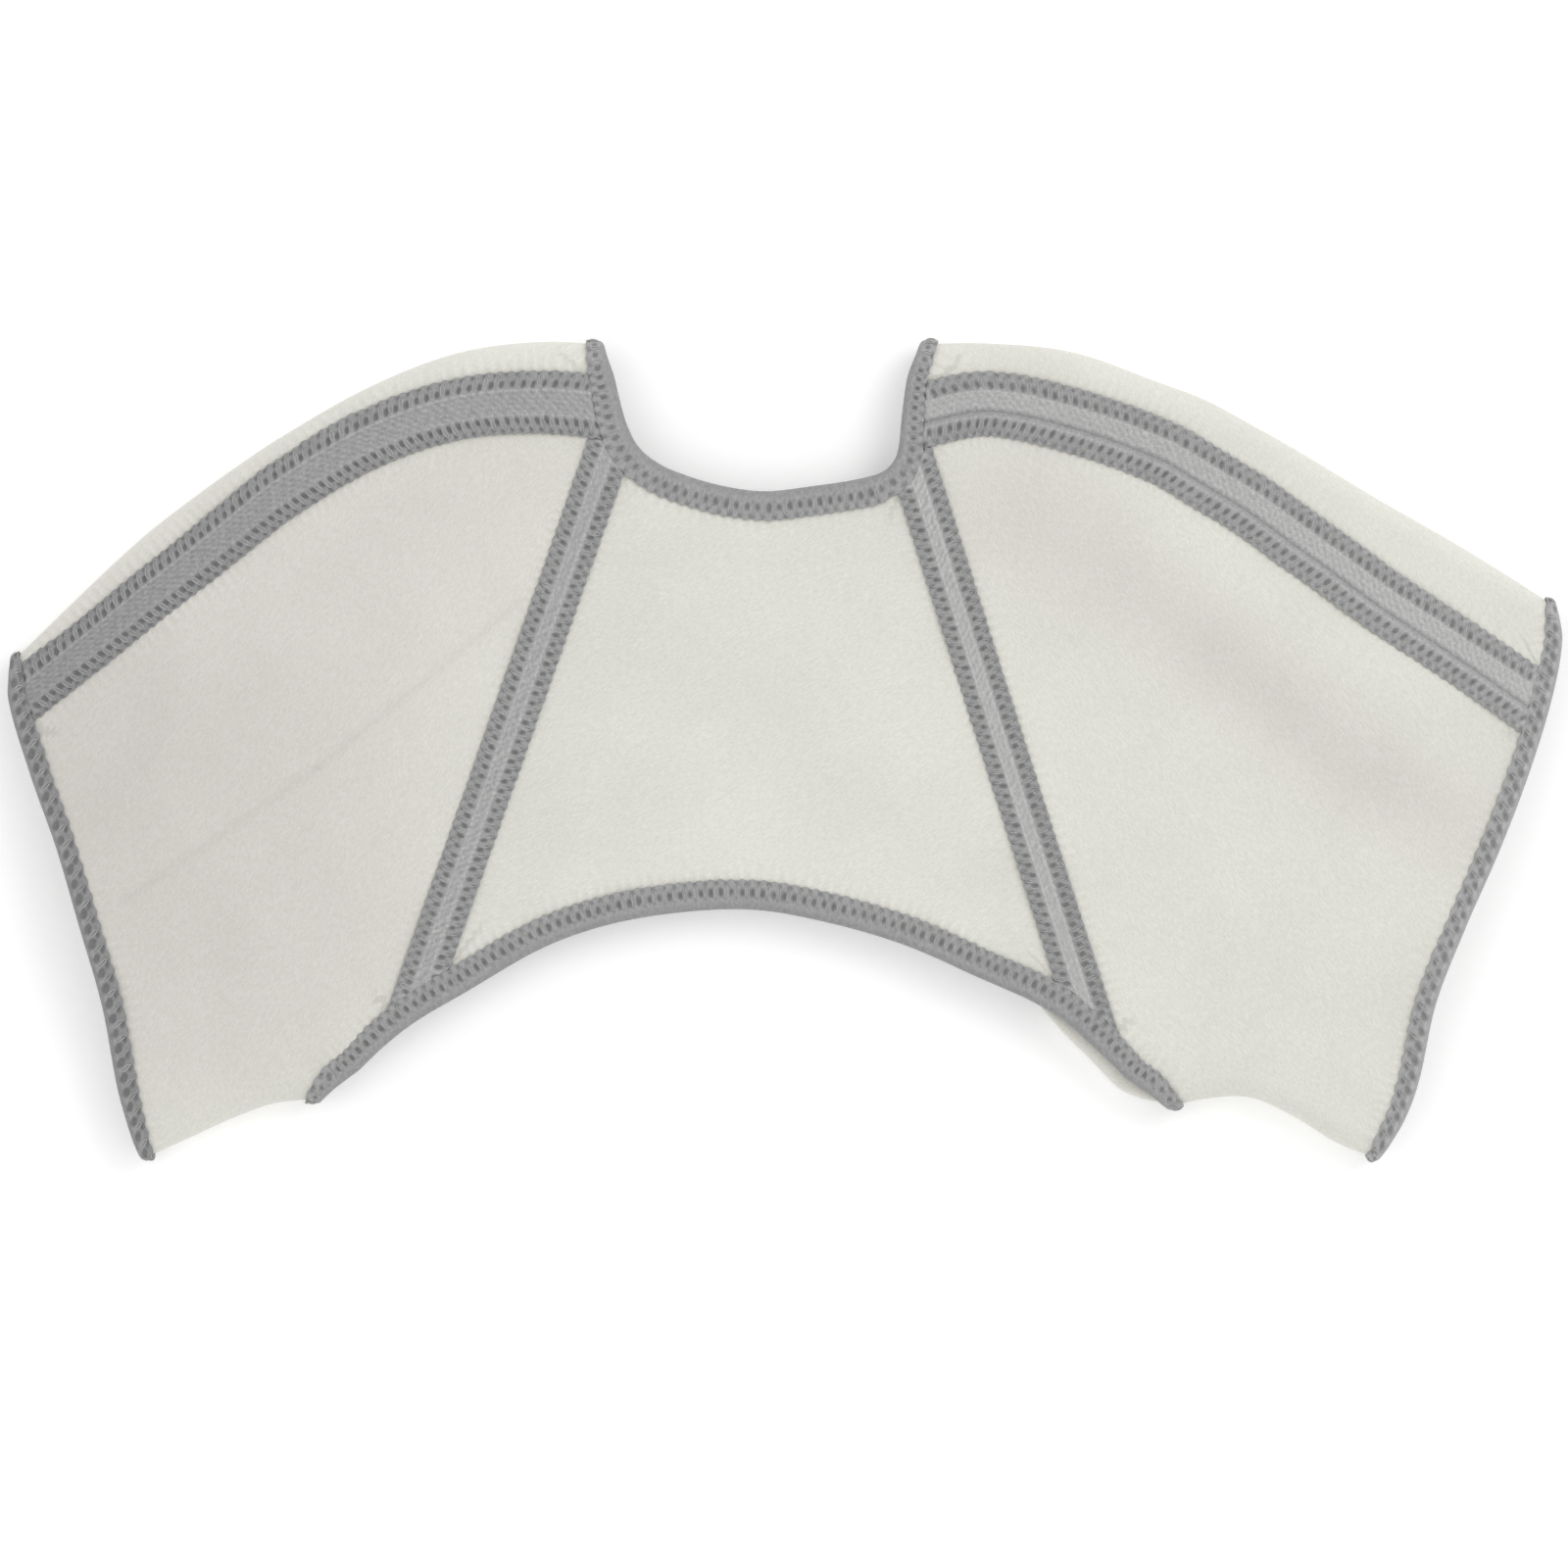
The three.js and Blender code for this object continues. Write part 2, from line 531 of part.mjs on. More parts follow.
// A body panel, filled in from its neck, hem and raglan edges. front is 0 for the back, 2 for the front.
function panelGrid(front) {
  const isBack = front === 0;
  const sOf = (side, where) => CORNERS[side][(isBack ? 'back' : 'front') + where];
  const edgeLine = (where, edge, lift) => {
    const ends = ['left', 'right'].map((side) => {
      const s = sOf(side, where);
      return spot(raglanX(s, side) - (sign(side) * SEAM_GAP) / 2, s);
    });
    const isOnSide = where === 'Neck' ? (s) => (isBack ? s > 0 : s < 0) : (s) => (isBack ? s < 1 : s > 1);
    const between = stretch(edge, ends[0].x, ends[1].x, isOnSide).map((p) => spot(p.x, p.s + lift));
    return spaced([ends[0], ...between, ends[1]], PANEL_STEPS.across);
  };
  const insetBy = (line, into) => line.map((place) => walk(place, into, 2 * EDGE_INSET));
  const towards = (a, b) => pointAt(b).sub(pointAt(a)).normalize();
  const cutNeck = edgeLine('Neck', neckEdge, front);
  const cutHem = edgeLine('Hem', hemEdge, 0);
  const middle = Math.round(PANEL_STEPS.across / 2);
  const down = towards(cutNeck[middle], cutHem[middle]);
  const neck = insetBy(cutNeck, down);
  const hem = insetBy(cutHem, down.clone().negate());
  return Array.from({ length: PANEL_STEPS.down + 1 }, (_, j) => {
    const along = j / PANEL_STEPS.down;
    const sides = [0, PANEL_STEPS.across].map((k) => {
      const side = k ? 'right' : 'left';
      const s = lerp(neck[k].s, hem[k].s, along);
      return spot(raglanX(s, side) - (sign(side) * SEAM_GAP) / 2, s);
    });
    return neck.map((top, i) => {
      const across = i / PANEL_STEPS.across;
      const blend = (key) => {
        const corner = (line, k) => line[k][key];
        const last = PANEL_STEPS.across;
        const flat = lerp(lerp(corner(neck, 0), corner(neck, last), across),
          lerp(corner(hem, 0), corner(hem, last), across), along);
        return lerp(top[key], hem[i][key], along) + lerp(sides[0][key], sides[1][key], across) - flat;
      };
      return spot(blend('x'), blend('s'));
    });
  });
}

// A solid skinned over rings of points. Rings run in order, and a ring's second half lies under its
// first half in reverse, so that the two end caps are ladders.
function skin(rings, closed) {
  const size = rings[0].length;
  const positions = rings.flat().flatMap((p) => [p.x, p.y, p.z]);
  const index = [];
  const quad = (a, b, c, d) => index.push(a, b, c, a, c, d);
  rings.forEach((_, j) => {
    if (!closed && j === rings.length - 1) return;
    const next = (j + 1) % rings.length;
    for (let i = 0; i < size; i += 1) {
      const k = (i + 1) % size;
      quad(j * size + i, j * size + k, next * size + k, next * size + i);
    }
  });
  if (!closed) {
    const last = (rings.length - 1) * size;
    for (let i = 0; i < size / 2 - 1; i += 1) {
      quad(size - 1 - i, size - 2 - i, i + 1, i);
      quad(last + i, last + i + 1, last + size - 2 - i, last + size - 1 - i);
    }
  }
  const geometry = new THREE.BufferGeometry();
  geometry.setAttribute('position', new THREE.Float32BufferAttribute(positions, 3));
  geometry.setIndex(index);
  if (signedVolume(positions, index) < 0) {
    for (let i = 0; i < index.length; i += 3) [index[i], index[i + 1]] = [index[i + 1], index[i]];
    geometry.setIndex(index);
  }
  geometry.computeVertexNormals();
  return geometry;
}
function signedVolume(positions, index) {
  const corner = (i) => new THREE.Vector3().fromArray(positions, 3 * index[i]);
  let sum = 0;
  for (let i = 0; i < index.length; i += 3) sum += corner(i).dot(corner(i + 1).cross(corner(i + 2)));
  return sum;
}

// Cloth over a grid of spots, between two heights above the middle of the fabric at each spot.
function layer(grid, low, high) {
  return skin(grid.map((row) => [
    ...row.map((p) => raised(p, high(p))),
    ...row.map((p) => raised(p, low(p))).reverse(),
  ]), false);
}

// How far a binding reaches at a spot of its edge. It narrows towards the folds.
function reachAt(place, reach) {
  const round = ((place.s % 2) + 2) % 2;
  const half = Math.min(round, 2 - round);
  const fromFold = Math.min(half, 1 - half) / ARC;
  return reach * (1 - FOLD_TAPER * (1 - THREE.MathUtils.smoothstep(fromFold, 0, TAPER_REACH)));
}

// A binding folded round an edge. The fabric lies on the side of the edge that into() points to.
function binding(edge, reach, into) {
  const directions = inwardsFrom(edge, into);
  const rings = edge.map((place, i) => {
    const far = reachAt(place, reach);
    const legs = [far, far / 2, 0].map((length) => walk(place, directions[i], length));
    const along = (side, more, out) => legs.map((p, k) =>
      raised(p, side * (tapeHeight(p) + more)).addScaledVector(directions[i], k === 2 ? -out : 0));
    return [
      ...along(1, TAPE, GAP + TAPE), ...along(-1, TAPE, GAP + TAPE).reverse(),
      ...along(-1, 0, GAP), ...along(1, 0, GAP).reverse(),
    ];
  });
  return skin(rings, true);
}

// The line just beyond a binding's reach, which a tape stops at.
function bindingLimit(edge, reach, into) {
  const directions = inwardsFrom(edge, into);
  return edge.map((place, i) => walk(place, directions[i], reachAt(place, reach) + 4 * GAP));
}

const towardsBody = (side) => () => new THREE.Vector3(-sign(side), 0, 0);

const thinned = (edge, count) => spaced([...edge, edge[0]], count).slice(0, count);
const neckLine = thinned(neckEdge, NECK_STEPS);
const hemLine = thinned(hemEdge, HEM_STEPS);
function cuffLine(side) {
  return sleeveRows(side).slice(0, -1).map((s) => {
    let x = sign(side) * HALF_SPAN;
    for (let i = 0; i < ROUNDS; i += 1) x = cuffX(s(x), side);
    return spot(x, s(x));
  });
}

// Crossing of the segments ab and cd in the plane of x and s, as a share of ab, or null.
function cross2(a, b, c, d) {
  const det = (b.x - a.x) * (d.s - c.s) - (b.s - a.s) * (d.x - c.x);
  if (Math.abs(det) < 1e-12) return null;
  const t = ((c.x - a.x) * (d.s - c.s) - (c.s - a.s) * (d.x - c.x)) / det;
  const u = ((c.x - a.x) * (b.s - a.s) - (c.s - a.s) * (b.x - a.x)) / det;
  return t >= 0 && t <= 1 && u >= 0 && u <= 1 ? t : null;
}

// The stretch of a line of spots between the last crossing near its start and the first near its end.
function trimmed(line, limits) {
  const hits = [];
  for (let i = 0; i + 1 < line.length; i += 1) {
    limits.forEach((limit) => {
      for (let k = 0; k + 1 < limit.length; k += 1) {
        const t = cross2(line[i], line[i + 1], limit[k], limit[k + 1]);
        if (t !== null) hits.push(i + t);
      }
    });
  }
  const middle = (line.length - 1) / 2;
  const start = Math.max(0, ...hits.filter((h) => h < middle));
  const end = Math.min(line.length - 1, ...hits.filter((h) => h > middle));
  return { start, end };
}
function spotAlong(line, at) {
  const i = clamp(Math.floor(at), 0, line.length - 2);
  return spot(lerp(line[i].x, line[i + 1].x, at - i), lerp(line[i].s, line[i + 1].s, at - i));
}

// Spots of a tape laid over a seam, trimmed where it runs into a binding or another tape. widthAt gives
// its width at a share of the way along.
function tapeGrid(seam, widthAt, steps, limits) {
  const rows = seam.map((place, i) => {
    const before = pointAt(seam[Math.max(i - 1, 0)]);
    const after = pointAt(seam[Math.min(i + 1, seam.length - 1)]);
    const sideways = normalAt(place.x, place.s).cross(after.sub(before)).normalize();
    const half = widthAt(i / (seam.length - 1)) / 2;
    return Array.from({ length: steps.across + 1 }, (_, k) =>
      walk(place, sideways, lerp(-half, half, k / steps.across)));
  });
  return Array.from({ length: steps.across + 1 }, (_, k) => {
    const line = rows.map((row) => row[k]);
    const { start, end } = trimmed(line, limits);
    return Array.from({ length: steps.along + 1 }, (__, j) =>
      spotAlong(line, lerp(start, end, j / steps.along)));
  });
}

const neckLimit = bindingLimit(neckLine, BINDING, awayFromNeck);
const hemLimit = bindingLimit(hemLine, BINDING, awayFromHem);
// A closed limit as an open line that ends where it starts.
const asLoop = (line) => [...line, line[0]];
const shifted = (line, by) => line.map((p) => spot(p.x, p.s + by));

const SEAM_POINTS = 60;
function shoulderSeam(side) {
  const inner = raglanX(CORNERS[side].backNeck, side) - sign(side) * BINDING;
  const outer = cuffX(shoulderS(sign(side) * HALF_SPAN), side) + sign(side) * CUFF_BINDING;
  return Array.from({ length: SEAM_POINTS + 1 }, (_, k) => {
    const x = lerp(inner, outer, k / SEAM_POINTS);
    return spot(x, shoulderS(x));
  });
}
const shoulderTapeWidth = (side) => (along) => SHOULDER_TAPE * (1 - NARROWING[side] * along);
function shoulderTapeGrid(side) {
  const seam = shoulderSeam(side);
  const cuffLimit = bindingLimit(cuffLine(side), CUFF_BINDING, towardsBody(side));
  const beforeFold = shifted(cuffLimit.filter((p) => p.s > 2 - ARC * 2), -2);
  const onBack = [...beforeFold, ...cuffLimit.filter((p) => p.s < 1)];
  return tapeGrid(seam, shoulderTapeWidth(side), SHOULDER_TAPE_STEPS, [asLoop(neckLimit), onBack]);
}

function raglanTapeGrid(side, isBack) {
  const corner = CORNERS[side];
  const from = isBack ? corner.backNeck - ARC / 2 : corner.frontNeck + ARC / 2;
  const to = isBack ? corner.backHem + ARC / 2 : corner.frontHem - ARC / 2;
  const seam = Array.from({ length: SEAM_POINTS + 1 }, (_, k) => {
    const s = lerp(from, to, k / SEAM_POINTS);
    return spot(raglanX(s, side), s);
  });
  const limits = [asLoop(shifted(neckLimit, isBack ? 0 : 2)), asLoop(hemLimit)];
  if (isBack) limits.push(shoulderTapeEdge(side));
  return tapeGrid(seam, () => RAGLAN_TAPE, RAGLAN_TAPE_STEPS, limits);
}
// The lower edge of a shoulder tape, which the raglan tape on the back stops at.
function shoulderTapeEdge(side) {
  const seam = shoulderSeam(side);
  return seam.slice(1, -1).map((place, i) => {
    const along = pointAt(seam[i + 2]).sub(pointAt(seam[i]));
    const sideways = normalAt(place.x, place.s).cross(along).normalize();
    if (sideways.y > 0) sideways.negate();
    const width = shoulderTapeWidth(side)((i + 1) / (seam.length - 1));
    return walk(place, sideways, width / 2 + GAP);
  });
}

function node(name, geometry, material) {
  const mesh = new THREE.Mesh(geometry, material);
  mesh.name = name;
  return mesh;
}
const panel = (name, grid) => node(name, layer(grid, () => -FABRIC / 2, () => FABRIC / 2), CLOTH);
const tape = (name, grid) => node(name, layer(grid, tapeHeight, (p) => tapeHeight(p) + TAPE), SEAM_CLOTH);

const brace = new THREE.Group();
brace.add(panel('back_panel', panelGrid(0)));
brace.add(panel('front_panel', panelGrid(2)));
for (const side of ['left', 'right']) {
  brace.add(panel(`sleeve_${side}`, sleeveGrid(side)));
  brace.add(tape(`shoulder_tape_${side}`, shoulderTapeGrid(side)));
  brace.add(tape(`back_raglan_tape_${side}`, raglanTapeGrid(side, true)));
  brace.add(tape(`front_raglan_tape_${side}`, raglanTapeGrid(side, false)));
  const edge = binding(cuffLine(side), CUFF_BINDING, towardsBody(side));
  brace.add(node(`cuff_binding_${side}`, edge, EDGE_CLOTH));
}
brace.add(node('neck_binding', binding(neckLine, BINDING, awayFromNeck), EDGE_CLOTH));
brace.add(node('hem_binding', binding(hemLine, BINDING, awayFromHem), EDGE_CLOTH));

export default brace;
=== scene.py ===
"""A double shoulder brace lying flat with its back uppermost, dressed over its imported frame."""

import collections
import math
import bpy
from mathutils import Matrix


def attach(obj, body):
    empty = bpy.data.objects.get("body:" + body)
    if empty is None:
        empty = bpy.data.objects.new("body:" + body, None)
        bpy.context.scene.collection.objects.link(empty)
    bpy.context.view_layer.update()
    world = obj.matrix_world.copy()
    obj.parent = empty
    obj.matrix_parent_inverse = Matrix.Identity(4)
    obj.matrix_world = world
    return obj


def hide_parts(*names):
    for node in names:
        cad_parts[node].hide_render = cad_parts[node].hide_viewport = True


bl_info = {
    "name": "Shoulder brace",
    "version": (1, 0, 0),
    "blender": (4, 5, 0),
    "location": "View3D > Sidebar > Brace",
    "description": "Sews a fleece shoulder brace with taped seams and bound edges",
    "category": "Object",
}

import bpy
import numpy as np
from mathutils import Vector

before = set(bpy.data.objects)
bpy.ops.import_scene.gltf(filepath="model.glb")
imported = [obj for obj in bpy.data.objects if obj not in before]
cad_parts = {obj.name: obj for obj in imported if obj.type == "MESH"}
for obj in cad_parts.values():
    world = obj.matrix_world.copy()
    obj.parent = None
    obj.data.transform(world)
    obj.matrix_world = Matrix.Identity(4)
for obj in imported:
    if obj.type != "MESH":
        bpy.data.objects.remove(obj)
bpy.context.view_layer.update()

MM = 0.001
BODY = "root"

# The brace as it lies, in millimetres, as its solids have it.
SPAN = 602.0
DEPTH = 317.0
HALF_SPAN = SPAN / 2
FOLD_RADIUS = 8.0
CROWN = 15.0
FABRIC = 3.0
TAPE = 0.8
GAP = 0.35
SEAM_GAP = 0.8
EDGE_FOLD = TAPE + GAP
EDGE_INSET = 1.6
FOLD_TAPER = 0.4
TAPER_REACH = 2.0
NARROWING = {"left": 0.22, "right": 0.0}
FRONT_HEIGHT = TAPE + GAP + FABRIC / 2
OUTER_HEIGHT = FABRIC / 2 + GAP + TAPE
ARC = 0.1
NUDGE = 0.05
NUDGE_S = 1e-4
ROUNDS = 14

# Sections across the brace: place in half spans, shoulder fold, underarm fold, drop of the shoulder
# seam below the fold, all in depths, and the crown in CROWN.
AT, FOLD, UNDER, SEAM, RISE = range(5)
SECTIONS = np.array([
    (-1.05, 0.06, -0.574, 0.056, 0.3),
    (-0.992, 0.114, -0.555, 0.058, 0.4),
    (-0.878, 0.219, -0.516, 0.076, 0.65),
    (-0.822, 0.267, -0.4965, 0.081, 0.78),
    (-0.765, 0.309, -0.4725, 0.081, 0.9),
    (-0.708, 0.348, -0.448, 0.076, 0.98),
    (-0.651, 0.384, -0.4305, 0.069, 1.0),
    (-0.538, 0.445, -0.4257, 0.066, 0.85),
    (-0.424, 0.487, -0.4257, 0.071, 0.45),
    (-0.311, 0.501, -0.4257, 0.076, 0.05),
    (-0.209, 0.495, -0.4257, 0.079, -0.2),
    (-0.04, 0.493, -0.4257, 0.09, -0.45),
    (0.152, 0.497, -0.4275, 0.091, -0.25),
    (0.257, 0.499, -0.43, 0.076, 0.05),
    (0.37, 0.488, -0.434, 0.086, 0.45),
    (0.484, 0.45, -0.436, 0.087, 0.85),
    (0.54, 0.43, -0.4265, 0.098, 0.95),
    (0.597, 0.401, -0.4246, 0.102, 1.0),
    (0.654, 0.3707, -0.448, 0.111, 1.0),
    (0.711, 0.338, -0.481, 0.117, 0.92),
    (0.767, 0.306, -0.501, 0.124, 0.8),
    (0.881, 0.2437, -0.5455, 0.133, 0.55),
    (0.994, 0.175, -0.584, 0.139, 0.4),
    (1.06, 0.13, -0.603, 0.141, 0.3),
])

# Outlines of the bound edges: side (0 on a fold, 1 on the back, -1 on the front), place in half spans
# and y in depths.
NECK_EDGE = [
    (0, -0.234, 0), (1, -0.2289, 0.4772), (1, -0.2175, 0.4449), (1, -0.2049, 0.3994),
    (1, -0.1898, 0.3707), (1, -0.1633, 0.3503), (1, -0.1343, 0.3383), (1, -0.0839, 0.324),
    (1, -0.0271, 0.3168), (1, 0.0296, 0.3228), (1, 0.0889, 0.3311), (1, 0.128, 0.3419),
    (1, 0.142, 0.3587), (1, 0.148, 0.403), (1, 0.1545, 0.4509), (1, 0.1648, 0.4772),
    (0, 0.172, 0), (-1, 0.168, 0.4725), (-1, 0.158, 0.4389), (-1, 0.15, 0.379),
    (-1, 0.1305, 0.3072), (-1, 0.0738, 0.2413), (-1, -0.0334, 0.209), (-1, -0.1343, 0.2377),
    (-1, -0.1885, 0.3012), (-1, -0.2112, 0.3731), (-1, -0.2226, 0.4365), (-1, -0.2327, 0.4725),
]
HEM_EDGE = [
    (0, -0.598, 0), (1, -0.5694, -0.4042), (1, -0.5404, -0.3826), (1, -0.4836, -0.3359),
    (1, -0.4054, -0.2916), (1, -0.3134, -0.2413), (1, -0.2226, -0.2114), (1, -0.128, -0.197),
    (1, -0.0397, -0.1946), (1, 0.0486, -0.209), (1, 0.1494, -0.2365), (1, 0.2503, -0.2784),
    (1, 0.3159, -0.306), (1, 0.3537, -0.3275), (1, 0.3915, -0.3587), (1, 0.4332, -0.397),
    (1, 0.4647, -0.4174), (0, 0.489, 0), (-1, 0.4584, -0.4066), (-1, 0.389, -0.3419),
    (-1, 0.3008, -0.2844), (-1, 0.1494, -0.2198), (-1, -0.0397, -0.1766), (-1, -0.2289, -0.1934),
    (-1, -0.4054, -0.2725), (-1, -0.5063, -0.3395), (-1, -0.5631, -0.3922),
]
# Cuff outlines: way down from the shoulder fold, and place in half spans.
CUFF_EDGES = {
    "left": np.array([(0, -0.997), (0.06, -1), (0.24, -0.97), (0.41, -0.935), (0.57, -0.906),
                      (0.725, -0.878), (0.87, -0.86), (0.94, -0.847), (1, -0.833)]),
    "right": np.array([(0, 0.991), (0.044, 0.998), (0.148, 0.985), (0.29, 0.955), (0.44, 0.916),
                       (0.588, 0.872), (0.727, 0.835), (0.858, 0.814), (0.928, 0.796), (1, 0.767)]),
}
# Raglan seams, straight in plan: neck end and hem end, each in half spans and depths.
RAGLAN_SEAMS = {
    "left": ((-0.2193, 0.391), (-0.4748, -0.2976)),
    "right": ((0.1494, 0.391), (0.3953, -0.3395)),
}
# Soft hollows of the upper layer: place, y, turn in degrees, length and width in depths, drop in CROWN.
HOLLOWS = [
    (0.6, 0.1, -38, 0.26, 0.075, 0.36),
    (0.66, -0.34, 12, 0.14, 0.06, 0.2),
    (-0.56, -0.02, 38, 0.36, 0.05, 0.1),
    (-0.7, -0.33, 20, 0.12, 0.06, 0.18),
]
SIDES = {"left": -1.0, "right": 1.0}
EDGE_SAMPLES = 40


def through(table, column):
    """A smooth function through one column of a table, straight beyond its ends."""
    x = table[:, 0]
    y = table[:, column]
    slope = np.gradient(y)
    slope[1:-1] = (y[2:] - y[:-2]) / (x[2:] - x[:-2])
    slope[0] = (y[1] - y[0]) / (x[1] - x[0])
    slope[-1] = (y[-1] - y[-2]) / (x[-1] - x[-2])

    def value(at):
        at = np.asarray(at, float)
        i = np.clip(np.searchsorted(x, at, side="right") - 1, 0, len(x) - 2)
        width = x[i + 1] - x[i]
        t = np.clip((at - x[i]) / width, 0, 1)
        turn = t * t * (3 - 2 * t)
        inside = y[i] + (y[i + 1] - y[i]) * turn
        inside += t * (1 - t) ** 2 * slope[i] * width - t * t * (1 - t) * slope[i + 1] * width
        beyond = np.minimum(at - x[0], 0) * slope[0] + np.maximum(at - x[-1], 0) * slope[-1]
        return inside + beyond

    return value


fold_share = through(SECTIONS, FOLD)
under_share = through(SECTIONS, UNDER)
seam_share = through(SECTIONS, SEAM)
rise_share = through(SECTIONS, RISE)


def outline(share, x, inwards):
    y = share(x / HALF_SPAN) * DEPTH
    slope = (share((x + NUDGE) / HALF_SPAN) * DEPTH - y) / NUDGE
    return y + inwards * FABRIC / 2 * np.hypot(1, slope)


def top_line(x):
    return outline(fold_share, x, -1)


def bottom_line(x):
    return outline(under_share, x, 1)


def soft_oval(x, y, at, middle, turn, length, width):
    """1 in the middle of a turned oval, falling to 0 outside it."""
    angle = math.radians(turn)
    dx, dy = x - at, y - middle
    along = (dx * math.cos(angle) + dy * math.sin(angle)) / length
    across = (dy * math.cos(angle) - dx * math.sin(angle)) / width
    return np.exp(-along**2 - across**2)


def hollow_depth(x, y):
    total = 0.0
    for at, middle, turn, length, width, drop in HOLLOWS:
        inside = soft_oval(x, y, at * HALF_SPAN, middle * DEPTH, turn, length * DEPTH, width * DEPTH)
        total = total + drop * CROWN * inside
    return total


def half_share(s):
    """Share of the way from the shoulder fold to the underarm fold, on either layer."""
    turn = np.mod(s, 2)
    return np.minimum(turn, 2 - turn)


def surface(x, s):
    """The middle of the fabric at x and s: 0 to 1 down the back, 1 to 2 up the front."""
    x, s = np.broadcast_arrays(np.asarray(x, float), np.asarray(s, float))
    back = np.mod(s, 2) < 1
    half = half_share(s)
    top = top_line(x)
    bottom = bottom_line(x)
    flat = top - bottom - 2 * FOLD_RADIUS
    up = np.where(back, 1.0, -1.0)
    upper = half < ARC
    lower = half > 1 - ARC
    angle = np.where(upper, half, 1 - half) / ARC * math.pi / 2
    inset = FOLD_RADIUS * (1 - np.cos(angle))
    a = np.clip((half - ARC) / (1 - 2 * ARC), 0, 1)
    y = np.where(upper, top - inset, np.where(lower, bottom + inset, top - FOLD_RADIUS - a * flat))
    bump = np.sin(math.pi * a)
    lift = (rise_share(x / HALF_SPAN) * CROWN - hollow_depth(x, y)) * bump**2
    lift = np.where(back, lift, 0)
    reach = np.where(upper | lower, FOLD_RADIUS * np.sin(angle), FOLD_RADIUS)
    z = FRONT_HEIGHT + FOLD_RADIUS + up * reach + lift
    return np.stack([x, y, z], axis=-1)


def half_at(x, y):
    """Share of the way down a half loop at a place in plan."""
    top = top_line(x)
    bottom = bottom_line(x)
    from_top = np.maximum(0, top - y)
    from_bottom = np.maximum(0, y - bottom)

    def bend(inset):
        return np.arccos(1 - np.minimum(1, inset / FOLD_RADIUS)) / (math.pi / 2) * ARC

    flat = ARC + (from_top - FOLD_RADIUS) / (top - bottom - 2 * FOLD_RADIUS) * (1 - 2 * ARC)
    return np.where(from_top < FOLD_RADIUS, bend(from_top),
                    np.where(from_bottom < FOLD_RADIUS, 1 - bend(from_bottom), flat))


def unit(vectors):
    return vectors / np.linalg.norm(vectors, axis=-1, keepdims=True)


def slopes(x, s):
    along_x = (surface(x + NUDGE, s) - surface(x - NUDGE, s)) / (2 * NUDGE)
    along_s = (surface(x, s + NUDGE_S) - surface(x, s - NUDGE_S)) / (2 * NUDGE_S)
    return along_x, along_s


def normal_at(x, s):
    along_x, along_s = slopes(x, s)
    return unit(np.cross(along_s, along_x))


def raised(x, s, height):
    return surface(x, s) + normal_at(x, s) * np.asarray(height)[..., None]


def stepped(x, s, heading, distance):
    """One short step over the fabric, and the heading after it."""
    along_x, along_s = slopes(x, s)
    xx = np.sum(along_x**2, -1)
    xs = np.sum(along_x * along_s, -1)
    ss = np.sum(along_s**2, -1)
    px = np.sum(along_x * heading, -1) * distance
    ps = np.sum(along_s * heading, -1) * distance
    det = xx * ss - xs * xs
    x = x + (px * ss - ps * xs) / det
    s = s + (ps * xx - px * xs) / det
    normal = normal_at(x, s)
    heading = heading - normal * np.sum(heading * normal, -1)[..., None]
    return x, s, unit(heading)


STEP = 0.9


def walked(x, s, heading, distances, scale=1.0):
    """Spots at growing distances from each start: arrays of one row a distance."""
    xs, ss = [], []
    gone = 0.0
    for distance in distances:
        left = distance - gone
        count = max(1, math.ceil(abs(left) / STEP))
        for _ in range(count):
            if left:
                x, s, heading = stepped(x, s, heading, scale * left / count)
        gone = distance
        xs.append(x)
        ss.append(s)
    return np.array(xs), np.array(ss)


def soft(value, low, high):
    """0 below low and 1 above high, with a soft rise between."""
    t = np.clip((value - low) / (high - low), 0, 1)
    return t * t * (3 - 2 * t)


def distance_along(points):
    """Distance from the first point of a line to each of its points."""
    return np.concatenate([[0], np.cumsum(np.linalg.norm(np.diff(points, axis=0), axis=1))])


# The neck's binding narrows from further off between these places, by so many arcs of the fold.
NARROW_NECK = (35.0, 70.0, 0.8)


def taper(x, s):
    """Share of its reach that a binding keeps at a place: it narrows towards the folds."""
    half = half_share(s)
    low, high, longer = NARROW_NECK
    slow = np.where((x > low) & (x < high) & (half < 0.5), longer, 0.0)
    return 1 - FOLD_TAPER * (1 - soft(np.minimum(half, 1 - half) / ARC - slow, 0, TAPER_REACH))


def inward_headings(x, s, middle):
    """Headings square to a closed edge, into the fabric: away from a middle, or from a side's cuff."""
    points = surface(x, s)
    along = np.roll(points, -1, axis=0) - np.roll(points, 1, axis=0)
    heading = unit(np.cross(normal_at(x, s), along))
    along_x, along_s = slopes(x, s)
    if isinstance(middle, float):
        into = np.broadcast_to([-middle, 0, 0], heading.shape)
    else:
        into = along_x * (x - middle[0])[:, None] + along_s * (s - middle[1])[:, None]
    turn = np.sign(np.sum(heading * into, -1))
    return heading * turn[:, None]


def smoothed(values, spacing, reach):
    """Values round a closed line, each softened over its reach."""
    turns = np.fft.fftfreq(len(values), spacing)
    soften = np.exp(-2 * (math.pi * reach * turns) ** 2)
    return np.fft.ifft(np.fft.fft(values) * soften).real


BEND = FOLD_RADIUS * math.pi / 2
LINE_STEP = 0.5
SOFT_LINE = 2.0


def flat_depth(x):
    return top_line(x) - bottom_line(x) - 2 * FOLD_RADIUS


def way_from_fold(x, s, fold_s):
    """Distance over the fabric from a fold, below zero on its front."""
    away = np.abs(s - fold_s)
    flat = flat_depth(x)
    beyond = BEND + (away - ARC) * flat / (1 - 2 * ARC)
    return np.sign(s - fold_s) * np.where(away < ARC, away / ARC * BEND, beyond)


